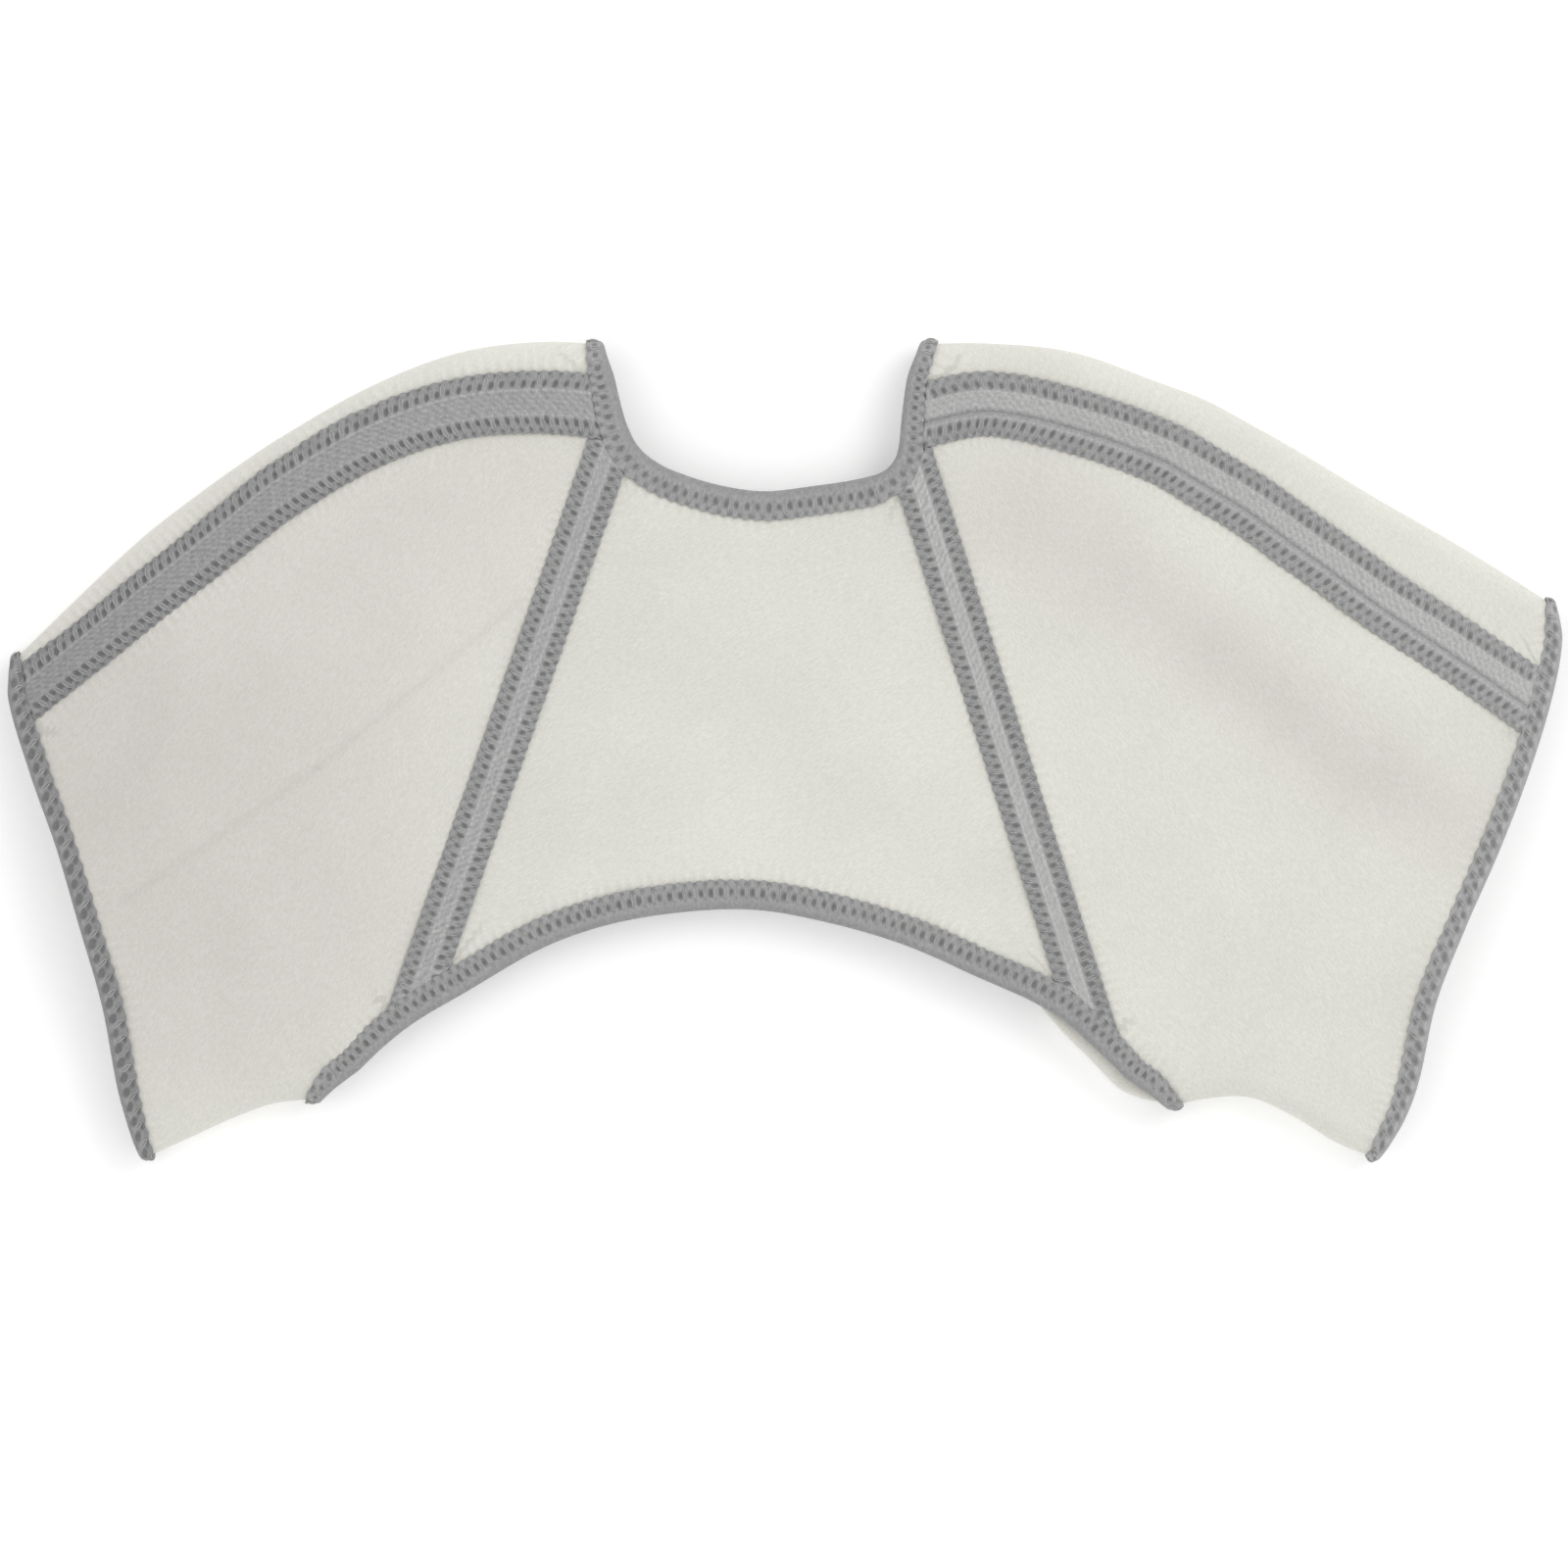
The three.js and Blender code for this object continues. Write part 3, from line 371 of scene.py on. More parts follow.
def turn_at_way(x, way, fold_s):
    """s at a distance over the fabric from a fold."""
    away = np.abs(way)
    beyond = ARC + (away - BEND) * (1 - 2 * ARC) / flat_depth(x)
    return fold_s + np.sign(way) * np.where(away < BEND, away / BEND * ARC, beyond)


def evened(x, way):
    """The closed line through the spots, in even steps."""
    x = np.append(x, x[0])
    way = np.append(way, way[0])
    along = np.concatenate([[0], np.cumsum(np.hypot(np.diff(x), np.diff(way)))])
    count = round(along[-1] / LINE_STEP)
    at = np.arange(count) * along[-1] / count
    return np.interp(at, along, x), np.interp(at, along, way)


def closed_edge(rows, middle):
    """The cut edge inside an outline, a closed spline through its rows, as a fine line of spots."""
    fold_s = middle[1]
    points = []
    for side, at, y in rows:
        x = at * HALF_SPAN
        half = fold_s if side == 0 else float(half_at(x, y * DEPTH))
        points.append((x, (2 * fold_s - half if side < 0 else half) * DEPTH))
    points = np.array(points)
    before = np.roll(points, 1, axis=0)
    after = np.roll(points, -1, axis=0)
    later = np.roll(points, -2, axis=0)
    line = []
    for p0, p1, p2, p3 in zip(before, points, after, later):
        d0, d1, d2 = (np.sum((b - a) ** 2) ** 0.25 for a, b in ((p0, p1), (p1, p2), (p2, p3)))
        t1 = ((p1 - p0) / d0 - (p2 - p0) / (d0 + d1) + (p2 - p1) / d1) * d1
        t2 = ((p2 - p1) / d1 - (p3 - p1) / (d1 + d2) + (p3 - p2) / d2) * d1
        t = np.arange(EDGE_SAMPLES)[:, None] / EDGE_SAMPLES
        line.append(p1 + t1 * t + (-3 * p1 + 3 * p2 - 2 * t1 - t2) * t**2
                    + (2 * p1 - 2 * p2 + t1 + t2) * t**3)
    line = np.concatenate(line)
    x, s = line[:, 0], line[:, 1] / DEPTH
    for inset in (0.0, EDGE_FOLD):
        if inset:
            (x,), (s,) = walked(x, s, inward_headings(x, s, middle), [inset])
        x, way = evened(x, way_from_fold(x, s, fold_s))
        x = smoothed(x, LINE_STEP, SOFT_LINE)
        s = turn_at_way(x, smoothed(way, LINE_STEP, SOFT_LINE), fold_s)
    return x, s


NECK_MIDDLE = (-0.035 * HALF_SPAN, 0.0)
HEM_MIDDLE = (-0.05 * HALF_SPAN, 1.0)
neck_x, neck_s = closed_edge(NECK_EDGE, NECK_MIDDLE)
hem_x, hem_s = closed_edge(HEM_EDGE, HEM_MIDDLE)


def edge_function(edge_x, edge_s, middle):
    """x of an edge at s, for each side."""
    out = {}
    for side, sign in SIDES.items():
        inside = (edge_x - middle[0]) * sign > 0
        order = np.argsort(edge_s[inside])
        out[side] = (edge_s[inside][order], edge_x[inside][order])
    return lambda s, side: np.interp(s, *out[side])


neck_edge_x = edge_function(neck_x, neck_s, NECK_MIDDLE)
hem_edge_x = edge_function(hem_x, hem_s, HEM_MIDDLE)


def raglan_x(s, side):
    (neck_at, neck_y), (hem_at, hem_y) = RAGLAN_SEAMS[side]
    lean = (hem_at - neck_at) * HALF_SPAN / ((hem_y - neck_y) * DEPTH)
    x = np.full_like(np.asarray(s, float), (neck_at + hem_at) * HALF_SPAN / 2)
    for _ in range(ROUNDS):
        x = neck_at * HALF_SPAN + lean * (surface(x, s)[..., 1] - neck_y * DEPTH)
    return x


def shoulder_s(x):
    return half_at(x, top_line(x) + FABRIC / 2 - seam_share(x / HALF_SPAN) * DEPTH)


cuff_at = {side: through(table, 1) for side, table in CUFF_EDGES.items()}


def cuff_x(s, side):
    x = np.full_like(np.asarray(s, float), SIDES[side] * HALF_SPAN)
    for _ in range(ROUNDS):
        top = top_line(x)
        down = (top - surface(x, s)[..., 1]) / (top - bottom_line(x))
        x = cuff_at[side](np.clip(down, 0, 1)) * HALF_SPAN - SIDES[side] * EDGE_FOLD
    return x


def crossing(first, second, low, high):
    order = np.sign(first(low) - second(low))
    for _ in range(2 * ROUNDS):
        middle = (low + high) / 2
        if np.sign(first(middle) - second(middle)) == order:
            low = middle
        else:
            high = middle
    return (low + high) / 2


def corners(side):
    def raglan(s):
        return float(raglan_x(s, side))

    def neck(s):
        return float(neck_edge_x(s, side))

    def hem(s):
        return float(hem_edge_x(s, side))

    return {
        "back_neck": crossing(raglan, neck, 0.02, 0.3),
        "back_hem": crossing(raglan, hem, 0.6, 0.98),
        "front_hem": crossing(raglan, hem, 1.4, 1.02),
        "front_neck": 2 + crossing(lambda s: raglan(2 + s), neck, -0.3, -0.02),
    }


CORNERS = {side: corners(side) for side in SIDES}


def sleeve_inner_x(s, side):
    """The inner edge of a sleeve at s: neck, raglan, hem, raglan and neck in turn."""
    corner = CORNERS[side]
    sign = SIDES[side]
    seam = raglan_x(s, side) + sign * SEAM_GAP / 2
    neck = np.where(s < 1, neck_edge_x(s, side), neck_edge_x(s - 2, side)) + sign * EDGE_INSET
    hem = hem_edge_x(s, side) + sign * EDGE_INSET
    between = (s > corner["back_hem"]) & (s < corner["front_hem"])
    on_neck = (s < corner["back_neck"]) | (s > corner["front_neck"])
    return np.where(on_neck, neck, np.where(between, hem, seam))


# Meshes.

def in_metres(points):
    return np.asarray(points, float) * MM


def deselect():
    if bpy.context.mode != "OBJECT":
        bpy.ops.object.mode_set(mode="OBJECT")
    bpy.ops.object.select_all(action="DESELECT")


def select_only(piece):
    deselect()
    piece.select_set(True)
    bpy.context.view_layer.objects.active = piece


def edited(*steps):
    """Runs steps on all of the active mesh in edit mode, and turns its faces outwards."""
    bpy.ops.object.mode_set(mode="EDIT")
    bpy.ops.mesh.select_all(action="SELECT")
    for step in steps:
        step()
    bpy.ops.mesh.select_all(action="SELECT")
    bpy.ops.mesh.normals_make_consistent(inside=False)
    bpy.ops.object.mode_set(mode="OBJECT")


MERGED = 2e-6


def grid_piece(name, columns, rows, place, closed=False, attributes=None):
    """A grid primitive whose points are laid by place(i, j), in millimetres.

    attributes names values, by point, that the material reads, as functions of i and j."""
    deselect()
    bpy.ops.mesh.primitive_grid_add(x_subdivisions=columns, y_subdivisions=rows, size=1)
    piece = bpy.context.active_object
    piece.name = name
    mesh = piece.data
    mesh.name = name
    flat = np.empty(len(mesh.vertices) * 3)
    mesh.vertices.foreach_get("co", flat)
    flat = flat.reshape(-1, 3)
    i = np.rint((flat[:, 0] + 0.5) * columns).astype(int)
    j = np.rint((flat[:, 1] + 0.5) * rows).astype(int)
    mesh.vertices.foreach_set("co", in_metres(place(i, j)).ravel())
    for key, value in (attributes or {}).items():
        layer = mesh.attributes.new(key, "FLOAT", "POINT")
        layer.data.foreach_set("value", np.asarray(value(i, j), float))
    mesh.update()
    if closed:
        edited(lambda: bpy.ops.mesh.remove_doubles(threshold=MERGED))
    bpy.ops.object.shade_smooth()
    return piece


def close_ends(piece):
    """Closes the open ends of a tube with a face each."""
    select_only(piece)
    edited(
        lambda: bpy.ops.mesh.select_all(action="DESELECT"),
        bpy.ops.mesh.select_non_manifold,
        bpy.ops.mesh.edge_face_add,
    )


def thickened(piece, thickness):
    """The sheet as a wall, half its thickness to each side."""
    select_only(piece)
    wall = piece.modifiers.new("Wall", "SOLIDIFY")
    wall.thickness = thickness * MM
    wall.offset = 0
    wall.use_even_offset = False
    bpy.ops.object.modifier_apply(modifier=wall.name)
    bpy.ops.object.shade_smooth()
    return piece


def finished(piece, material, slot, *nodes):
    """Gives a piece its finish, and its place in the frame."""
    piece.data.materials.clear()
    piece.data.materials.append(material)
    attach(piece, BODY)
    if nodes:
        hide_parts(*nodes)
    return piece


# Cloth.

def undulation(x, y, seed, wavelengths, amplitude):
    """Soft, shallow waves of the cloth."""
    rng = np.random.default_rng(seed)
    total = np.zeros(np.shape(x))
    for wavelength in wavelengths:
        for _ in range(3):
            angle, phase = rng.uniform(0, 2 * math.pi, 2)
            share = wavelength / wavelengths[0]
            wave = (x * math.cos(angle) + y * math.sin(angle)) * 2 * math.pi / wavelength
            total += share * np.sin(wave + phase)
    return amplitude * total / 3


CREASES = [
    # x and y of both ends in millimetres, reach across and height, negative for a valley.
    (-103.4, 57.0, -180.9, -7.2, 2.2, -0.35),
    (-180.9, -7.2, -255.4, -58.5, 2.2, -0.35),
    (-205.0, -118.0, -165.0, -112.0, 7.0, 0.9),
    (-236.0, -128.0, -190.0, -104.0, 6.0, -0.7),
    (150.0, -121.0, 196.0, -116.0, 7.0, 0.9),
    (196.0, -122.0, 228.0, -140.0, 6.0, -0.6),
    (124.6, 78.0, 170.0, 25.0, 15.0, -1.2),
    (170.0, 25.0, 246.0, -24.0, 15.0, -1.2),
]
# Places of painted shade on the fleece, where it is darker and greyer: x, y, turn in degrees, length and
# width in millimetres, and share of dark.
PAINTED_SHADES = [
    (-225.0, 10.0, 35, 120.0, 105.0, 0.105),
    (-262.0, 0.0, 65, 60.0, 32.0, 0.07),
    (-222.0, -92.0, 20, 70.0, 45.0, 0.085),
    (-125.0, 88.0, 15, 62.0, 36.0, 0.06),
    (95.0, 86.0, -15, 52.0, 40.0, 0.07),
    (180.0, 24.0, -38, 78.0, 22.0, 0.13),
    (250.0, -24.0, -25, 46.0, 18.0, 0.05),
    (300.0, -40.0, 70, 120.0, 60.0, 0.025),
]
# The first creases also carry painted shade: thin darker lines along their valleys.
DARK_CREASES = 2
CREASE_DARK = 0.045
CREASE_DARK_REACH = 1.6


def from_line(x, y, ax, ay, bx, by):
    """Distance in plan from a line between two places."""
    length = math.hypot(bx - ax, by - ay)
    ux, uy = (bx - ax) / length, (by - ay) / length
    along = np.clip((x - ax) * ux + (y - ay) * uy, 0, length)
    return np.hypot(x - ax - ux * along, y - ay - uy * along)


def painted_shade(x, y):
    """How much painted shade darkens and greys the fleece at a place."""
    painted_dark = np.zeros(np.shape(x))
    for *oval, dark in PAINTED_SHADES:
        painted_dark = painted_dark + dark * soft_oval(x, y, *oval)
    for ends_and_form in CREASES[:DARK_CREASES]:
        away = from_line(x, y, *ends_and_form[:4])
        painted_dark = painted_dark + CREASE_DARK * np.exp(-((away / CREASE_DARK_REACH) ** 2))
    return painted_dark


def crease_height(x, y):
    total = np.zeros(np.shape(x))
    for *ends, reach, height in CREASES:
        total += height * np.exp(-((from_line(x, y, *ends) / reach) ** 2))
    return total


WAVE_SEED = 7
WAVELENGTHS = (90, 52, 31)
WAVE_HEIGHT = 0.42


def cloth_height(x, s):
    """Relief of the cloth above its smooth middle surface."""
    spot = surface(x, s)
    back = np.mod(s, 2) < 1
    half = half_share(s)
    calm = np.clip((np.minimum(half, 1 - half) - 0.4 * ARC) / ARC, 0, 1)
    waves = undulation(spot[..., 0], spot[..., 1], WAVE_SEED, WAVELENGTHS, WAVE_HEIGHT)
    relief = waves + crease_height(spot[..., 0], spot[..., 1])
    return np.where(back, relief * calm, 0)


PUCKER_REACH = 4.5
# Height counts for more than distance in plan, so that no layer puckers along the other's seams.
LAYERS_APART = np.array([1.0, 1.0, 3.0])
SEAM_LINES = []


def seam_lines():
    """Lines that the fleece puckers along: points, distance along and half width of the tape."""
    tape_set = bpy.context.scene.brace_tape
    lines = []
    for side in SIDES:
        lines.append((*shoulder_seam(side), tape_set.shoulder_width / MM / 2))
        for on_back in (True, False):
            lines.append((*raglan_seam(side, on_back), tape_set.raglan_width / MM / 2))
        lines.append((*cuff_edge(side), tape_set.cuff_reach / MM))
    lines.append((neck_x, neck_s, tape_set.reach / MM))
    lines.append((hem_x, hem_s, tape_set.reach / MM))
    out = []
    for x, s, half in lines:
        points = surface(x, s)
        ahead = unit(np.gradient(points, axis=0))
        out.append((points[::3], distance_along(points)[::3], ahead[::3], half))
    return out


def puckers(points):
    """Distance along the nearest seam, and 1 beside its tape, falling to 0 further away."""
    along = np.zeros(len(points))
    nearest = np.full(len(points), np.inf)
    for line, at, ahead, half in SEAM_LINES:
        best = np.full(len(points), np.inf)
        index = np.zeros(len(points), int)
        for k in range(0, len(line), 100):
            away = np.linalg.norm((points[:, None] - line[None, k:k + 100]) * LAYERS_APART, axis=-1)
            spot = away.argmin(1)
            distance = away[np.arange(len(points)), spot]
            closer = distance < best
            best = np.where(closer, distance, best)
            index = np.where(closer, spot + k, index)
        here = at[index] + np.sum((points - line[index]) * ahead[index], axis=1)
        away = np.maximum(best - half, 0)
        chosen = away < nearest
        nearest = np.where(chosen, away, nearest)
        along = np.where(chosen, here, along)
    beside = np.exp(-((nearest / PUCKER_REACH) ** 2))
    return along, beside


CLOTH_WALL = FABRIC * 0.9


def cloth(name, columns, rows, x, s):
    """A wall of cloth over arrays of spots, with one column for each i and one row for each j."""
    if not SEAM_LINES:
        SEAM_LINES.extend(seam_lines())
    points = raised(x, s, cloth_height(x, s))
    middle = surface(x, s)
    along, beside = (value.reshape(x.shape) for value in puckers(middle.reshape(-1, 3)))
    # Painted shade of the fleece, kept by point for its material to darken it.
    painted_shades = painted_shade(middle[..., 0], middle[..., 1])
    piece = grid_piece(name, columns, rows, lambda i, j: points[j, i], attributes={
        "painted_shade": lambda i, j: painted_shades[j, i],
        "along": lambda i, j: along[j, i],
        "beside": lambda i, j: beside[j, i],
    })
    row, column = rows // 4, columns // 2
    face = piece.data.polygons[row * columns + column]
    if face.normal.dot(Vector(normal_at(x[row, column], s[row, column]))) < 0:
        piece.data.flip_normals()
    return thickened(piece, CLOTH_WALL)


def sleeve_spots(side, columns, rows):
    """x and s of a sleeve from the shoulder seam round the arm and back to it, by row and column."""
    sign = SIDES[side]
    v = np.linspace(0, 1, rows + 1)
    u = np.linspace(0, 1, columns + 1)

    def s_at(x):
        half_gap = SEAM_GAP / 2 / np.linalg.norm(slopes(x, shoulder_s(x))[1], axis=-1)
        return shoulder_s(x) + half_gap + v * (2 - 2 * half_gap)

    inner = np.full(rows + 1, RAGLAN_SEAMS[side][0][0] * HALF_SPAN)
    outer = np.full(rows + 1, sign * HALF_SPAN)
    for _ in range(ROUNDS):
        inner = sleeve_inner_x(s_at(inner), side)
        outer = cuff_x(s_at(outer), side) - sign * EDGE_INSET
    x = inner[:, None] + (outer - inner)[:, None] * u
    s = np.stack([s_at(column) for column in x.T], axis=1)
    return x, s


def panel_spots(on_back, columns, rows):
    """x and s of a panel between its raglan seams, neck and hem, by row and column."""
    where = "back" if on_back else "front"

    def seam_x(s, side):
        return raglan_x(s, side) - SIDES[side] * SEAM_GAP / 2

    def stretch(edge_x, edge_s, end, is_here, lift=0):
        (left_s, left_x), (right_s, right_x) = (
            (CORNERS[side][f"{where}_{end}"], float(seam_x(CORNERS[side][f"{where}_{end}"], side)))
            for side in SIDES)
        inside = is_here & (edge_x > left_x) & (edge_x < right_x)
        order = np.argsort(edge_x[inside])
        x = np.concatenate([[left_x], edge_x[inside][order], [right_x]])
        s = np.concatenate([[left_s], edge_s[inside][order] + lift, [right_s]])
        along = distance_along(surface(x, s))
        at = np.linspace(0, along[-1], columns + 1)
        return np.interp(at, along, x), np.interp(at, along, s)

    neck = stretch(neck_x, neck_s, "neck", neck_s > 0 if on_back else neck_s < 0, 0 if on_back else 2)
    hem = stretch(hem_x, hem_s, "hem", hem_s < 1 if on_back else hem_s > 1)
    inset = EDGE_INSET / np.linalg.norm(surface(*hem) - surface(*neck), axis=1).mean()
    down = inset + (1 - 2 * inset) * np.linspace(0, 1, rows + 1)
    u = np.linspace(0, 1, columns + 1)
    sides = []
    for side in SIDES:
        s = CORNERS[side][f"{where}_neck"] * (1 - down) + CORNERS[side][f"{where}_hem"] * down
        sides.append((seam_x(s, side), s))
    down = down[:, None]
    out = []
    for top, low, left, right in zip(neck, hem, *sides):
        flat = (top[0] * (1 - u) + top[-1] * u) * (1 - down) + (low[0] * (1 - u) + low[-1] * u) * down
        out.append(top * (1 - down) + low * down + left[:, None] * (1 - u) + right[:, None] * u - flat)
    return out


# Stitched bands. A band's value runs from the tape's free edge: shade is 0 for dark and 1 for light.

def hashed(k, seed):
    """A number from 0 to 1 of its own for each stitch k."""
    return np.mod(np.sin(k * 12.9898 + seed * 78.233) * 43758.5453, 1.0)


def spots_row(u, e, pitch, phase, middle, half_length, half_width, seed, slant=0.0):
    """1 inside each oval of a row, 0 outside, with each a little different."""
    at = (u - slant * (e - middle)) / pitch + phase
    k = np.rint(at)
    size = 1 + 0.3 * (hashed(k, seed) - 0.5)
    du = (at - k) * pitch - 0.35 * (hashed(k, seed + 1) - 0.5)
    de = e - middle - 0.4 * (hashed(k, seed + 2) - 0.5)
    away = np.sqrt((du / (half_width * size)) ** 2 + (de / (half_length * size)) ** 2)
    return 1 - soft(away, 0.55, 1.35)


Stitches = collections.namedtuple(
    "Stitches", "pitch oval_at oval_across oval_along dot_at dot_across dot_along slant spread")
# Cover stitches of each band: pitch, ovals and dots from the free edge with their half sizes, in
# millimetres, lean of the stitches, and spread of the threads across the band.
STITCHES = {
    "edge": Stitches(3.9, 5.0, 1.75, 0.9, 1.2, 0.85, 0.8, 0.0, 1.12),
    "cuff": Stitches(5.9, 4.7, 1.35, 1.8, 1.6, 1.1, 1.4, 0.5, 0.84),
    "shoulder": Stitches(4.0, 5.2, 1.6, 0.95, 1.2, 0.85, 0.85, 0.25, 1.04),
    "raglan": Stitches(4.0, 4.2, 1.35, 0.85, 1.1, 0.75, 0.8, 0.15, 0.88),
}
MIDDLE_PITCH = 4.0


def band(u, e, kind, pitch, seed):
    """Shade and height of a cover-stitched band at u along it and e from its free edge."""
    ovals = spots_row(u, e, pitch, 0.0, kind.oval_at, kind.oval_across, kind.oval_along, seed, kind.slant)
    dots = spots_row(u, e, pitch, 0.5, kind.dot_at, kind.dot_across, kind.dot_along, seed + 5, kind.slant)
    phase = 2 * math.pi * (u - kind.slant * (e - kind.oval_at)) / pitch
    loops = 0.5 - 0.5 * np.cos(phase)
    inside = soft(e, 2.0, 3.0) * (1 - soft(e, kind.oval_at + 1.2, kind.oval_at + 2.0))
    shade = 0.2 * loops * inside - 0.42 * ovals - 0.32 * dots
    height = 0.25 * loops * inside - 0.4 * ovals - 0.3 * dots
    return shade, height


def scallop(u, pitch, seed):
    """How far each stitch pulls a tape's free edge in or lets it out."""
    k = np.rint(u / pitch)
    return 0.32 * np.cos(2 * math.pi * u / pitch) + 0.2 * (hashed(k, seed) - 0.5)


def weave_noise(u, v, seed):
    """Unevenness of a tape, -1 to 1."""
    rng = np.random.default_rng(seed)
    total = np.zeros(np.broadcast(u, v).shape)
    for _ in range(7):
        a, b = rng.uniform(0.35, 2.4, 2)
        p = rng.uniform(0, 2 * math.pi)
        total += np.sin(a * u + b * v * rng.choice([-1, 1]) + p)
    return total / 7


# Bindings.

def loop_spots(edge_x, edge_s, spacing, pitch):
    """Even spots round a closed edge, a whole number of stitches long, with their distance along."""
    x = np.append(edge_x, edge_x[0])
    s = np.append(edge_s, edge_s[0])
    along = distance_along(surface(x, s))
    stitches = round(along[-1] / pitch)
    steps = max(4, round(pitch / spacing))
    count = stitches * steps
    at = np.arange(count) * along[-1] / count
    return np.interp(at, along, x), np.interp(at, along, s), at, along[-1] / stitches


ROLL_MIDDLE = 1.2
ROLL_STEPS = 7
LEG_STEP = 0.72
BINDING_STEP = 0.66
EDGE_FALL = 0.35
FOLD_GAP = 0.3
INNER_HEIGHT = FABRIC / 2 + 0.1
HIDDEN_SHADE = 0.3


def fold_gap(s):
    """Extra height of tape round a fold."""
    half = half_share(s)
    from_fold = np.minimum(half, 1 - half) / ARC
    on_back = FOLD_GAP * np.clip(2 - from_fold, 0, 1)
    room = (FOLD_RADIUS + OUTER_HEIGHT) * (1 / np.sin(np.clip(from_fold, 0.1, 1) * math.pi / 2) - 1)
    return np.where(np.mod(s, 2) < 1, on_back, np.minimum(FOLD_GAP, room))


def stitch_pitch(kind, settings):
    """Length of a stitch of this kind, scaled with the settings."""
    return kind.pitch * settings.stitch_pitch / MM / MIDDLE_PITCH


def binding(name, edge, middle, reach, kind, settings, seed, tint):
    """A tape folded round a closed edge, with its stitched band on both faces."""
    x, s, along, pitch = loop_spots(*edge, BINDING_STEP, stitch_pitch(kind, settings))
    heading = inward_headings(x, s, middle)
    heading = unit(np.stack([smoothed(column, along[1], SOFT_LINE) for column in heading.T], axis=1))
    leg = np.arange(ROLL_MIDDLE, reach + LEG_STEP * 0.6, LEG_STEP)
    leg = np.append(leg[leg < reach - 0.25], [reach - 0.12, reach])
    keep = taper(x, s)
    legs_x, legs_s = walked(x, s, heading, leg, keep)
    shift = scallop(along, pitch, seed)
    normal = normal_at(x, s)
    origin = surface(x, s)

    def leg_spots(k, side, out):
        px, ps = legs_x[k], legs_s[k]
        spot = surface(px, ps) + side * normal_at(px, ps) * out
        if k >= len(leg) - 2:
            spot = spot + heading * shift[:, None]
        return spot

    def face(side):
        rows = []
        for k, e_leg in enumerate(leg):
            e = np.full_like(along, reach - e_leg)
            shade, height = band(along, e, kind, pitch, seed + (side < 0) * 31)
            shade = shade + tint - 0.13 * soft(e_leg, reach - kind.oval_at - 2.2, 0.2)
            height = height + 0.12 * weave_noise(along, e_leg, seed + 3)
            if side < 0:
                height = np.minimum(height, 0)
            out = OUTER_HEIGHT + fold_gap(legs_s[k]) + height - EDGE_FALL * (k >= len(leg) - 2)
            noise = weave_noise(along * 1.7, e_leg * 2.1, seed + 9)
            rows.append((leg_spots(k, side, out[:, None]), 0.5 + shade + 0.1 * noise))
        return rows

    rows = face(1)[::-1]
    for k in range(1, ROLL_STEPS):
        angle = math.pi / 2 - math.pi * k / ROLL_STEPS
        back = ROLL_MIDDLE * keep - (ROLL_MIDDLE * keep + EDGE_FOLD) * math.cos(angle)
        rows.append((origin + heading * back[:, None] + normal * (OUTER_HEIGHT * math.sin(angle)),
                     0.36 + tint + 0.1 * weave_noise(along, k * 1.3, seed + 12)))
    rows += face(-1)
    for side, order in ((-1, range(len(leg) - 1, -1, -3)), (1, range(0, len(leg), 3))):
        for k in order:
            rows.append((leg_spots(k, side, INNER_HEIGHT), np.full(len(along), HIDDEN_SHADE)))
    rows.append(rows[0])
    points, shades = (np.array(each) for each in zip(*rows))
    columns = len(along)
    piece = grid_piece(
        name, columns, len(points) - 1, lambda i, j: points[j, i % columns], closed=True,
        attributes={"shade": lambda i, j: shades[j, i % columns]},
    )
    ahead = unit(np.roll(origin, -1, axis=0) - np.roll(origin, 1, axis=0))
    return piece, dict(x=x, s=s, heading=heading, ahead=ahead, along=along, pitch=pitch, reach=reach)


# Fold of the front layer.

FOLD_UNDER = 6.0
FOLD_SIDES = 16
FOLD_STEPS = 48
# Painted shade that greys the roll of the front fold, which lies under the back hem's edge.
FOLD_PAINTED_SHADE = 0.02


def front_fold(name, edge, middle, low, high, proud, height, thick):
    """A soft roll of fleece under a stretch of a back edge, standing proud of it; and its length."""
    edge_x, edge_s = edge
    chosen = (edge_x > low) & (edge_x < high) & (edge_s < middle[1])
    x, s = edge_x[chosen], edge_s[chosen]
    inwards = inward_headings(edge_x, edge_s, middle)[chosen][:, :2]
    inwards = inwards / np.linalg.norm(inwards, axis=1, keepdims=True)
    edge = surface(x, s)[:, :2] - inwards * EDGE_FOLD
    length = float(np.sum(np.linalg.norm(np.diff(edge, axis=0), axis=1)))
    share = np.linspace(0, 1, FOLD_STEPS + 1)
    at = np.linspace(0, len(x) - 1, FOLD_STEPS + 1)
    edge, inwards = (
        np.stack([np.interp(at, np.arange(len(x)), column) for column in plan.T], axis=1)
        for plan in (edge, inwards))
    swell = np.sin(math.pi * np.clip(share, 0.01, 0.99)) ** 0.6
    uneven = 1 + 0.12 * np.sin(9 * share + 1.0) * np.sin(math.pi * share)
    outer = proud * swell * uneven
    inner = FOLD_UNDER * swell
    turns = np.linspace(0, 2 * math.pi, FOLD_SIDES + 1)
    reach = (outer - inner) / 2 + np.cos(turns)[:, None] * (outer + inner) / 2
    z = height + np.sin(turns)[:, None] * thick / 2 * swell
    plan = edge[None] - inwards[None] * reach[..., None]
    points = np.concatenate([plan, z[..., None]], axis=-1)
    piece = grid_piece(
        name, FOLD_STEPS, FOLD_SIDES, lambda i, j: points[j % FOLD_SIDES, i], closed=True,
        attributes={"painted_shade": lambda i, j: np.full(len(i), FOLD_PAINTED_SHADE)},
    )
    close_ends(piece)
    return piece, length * MM


# Threads of the cover stitches.

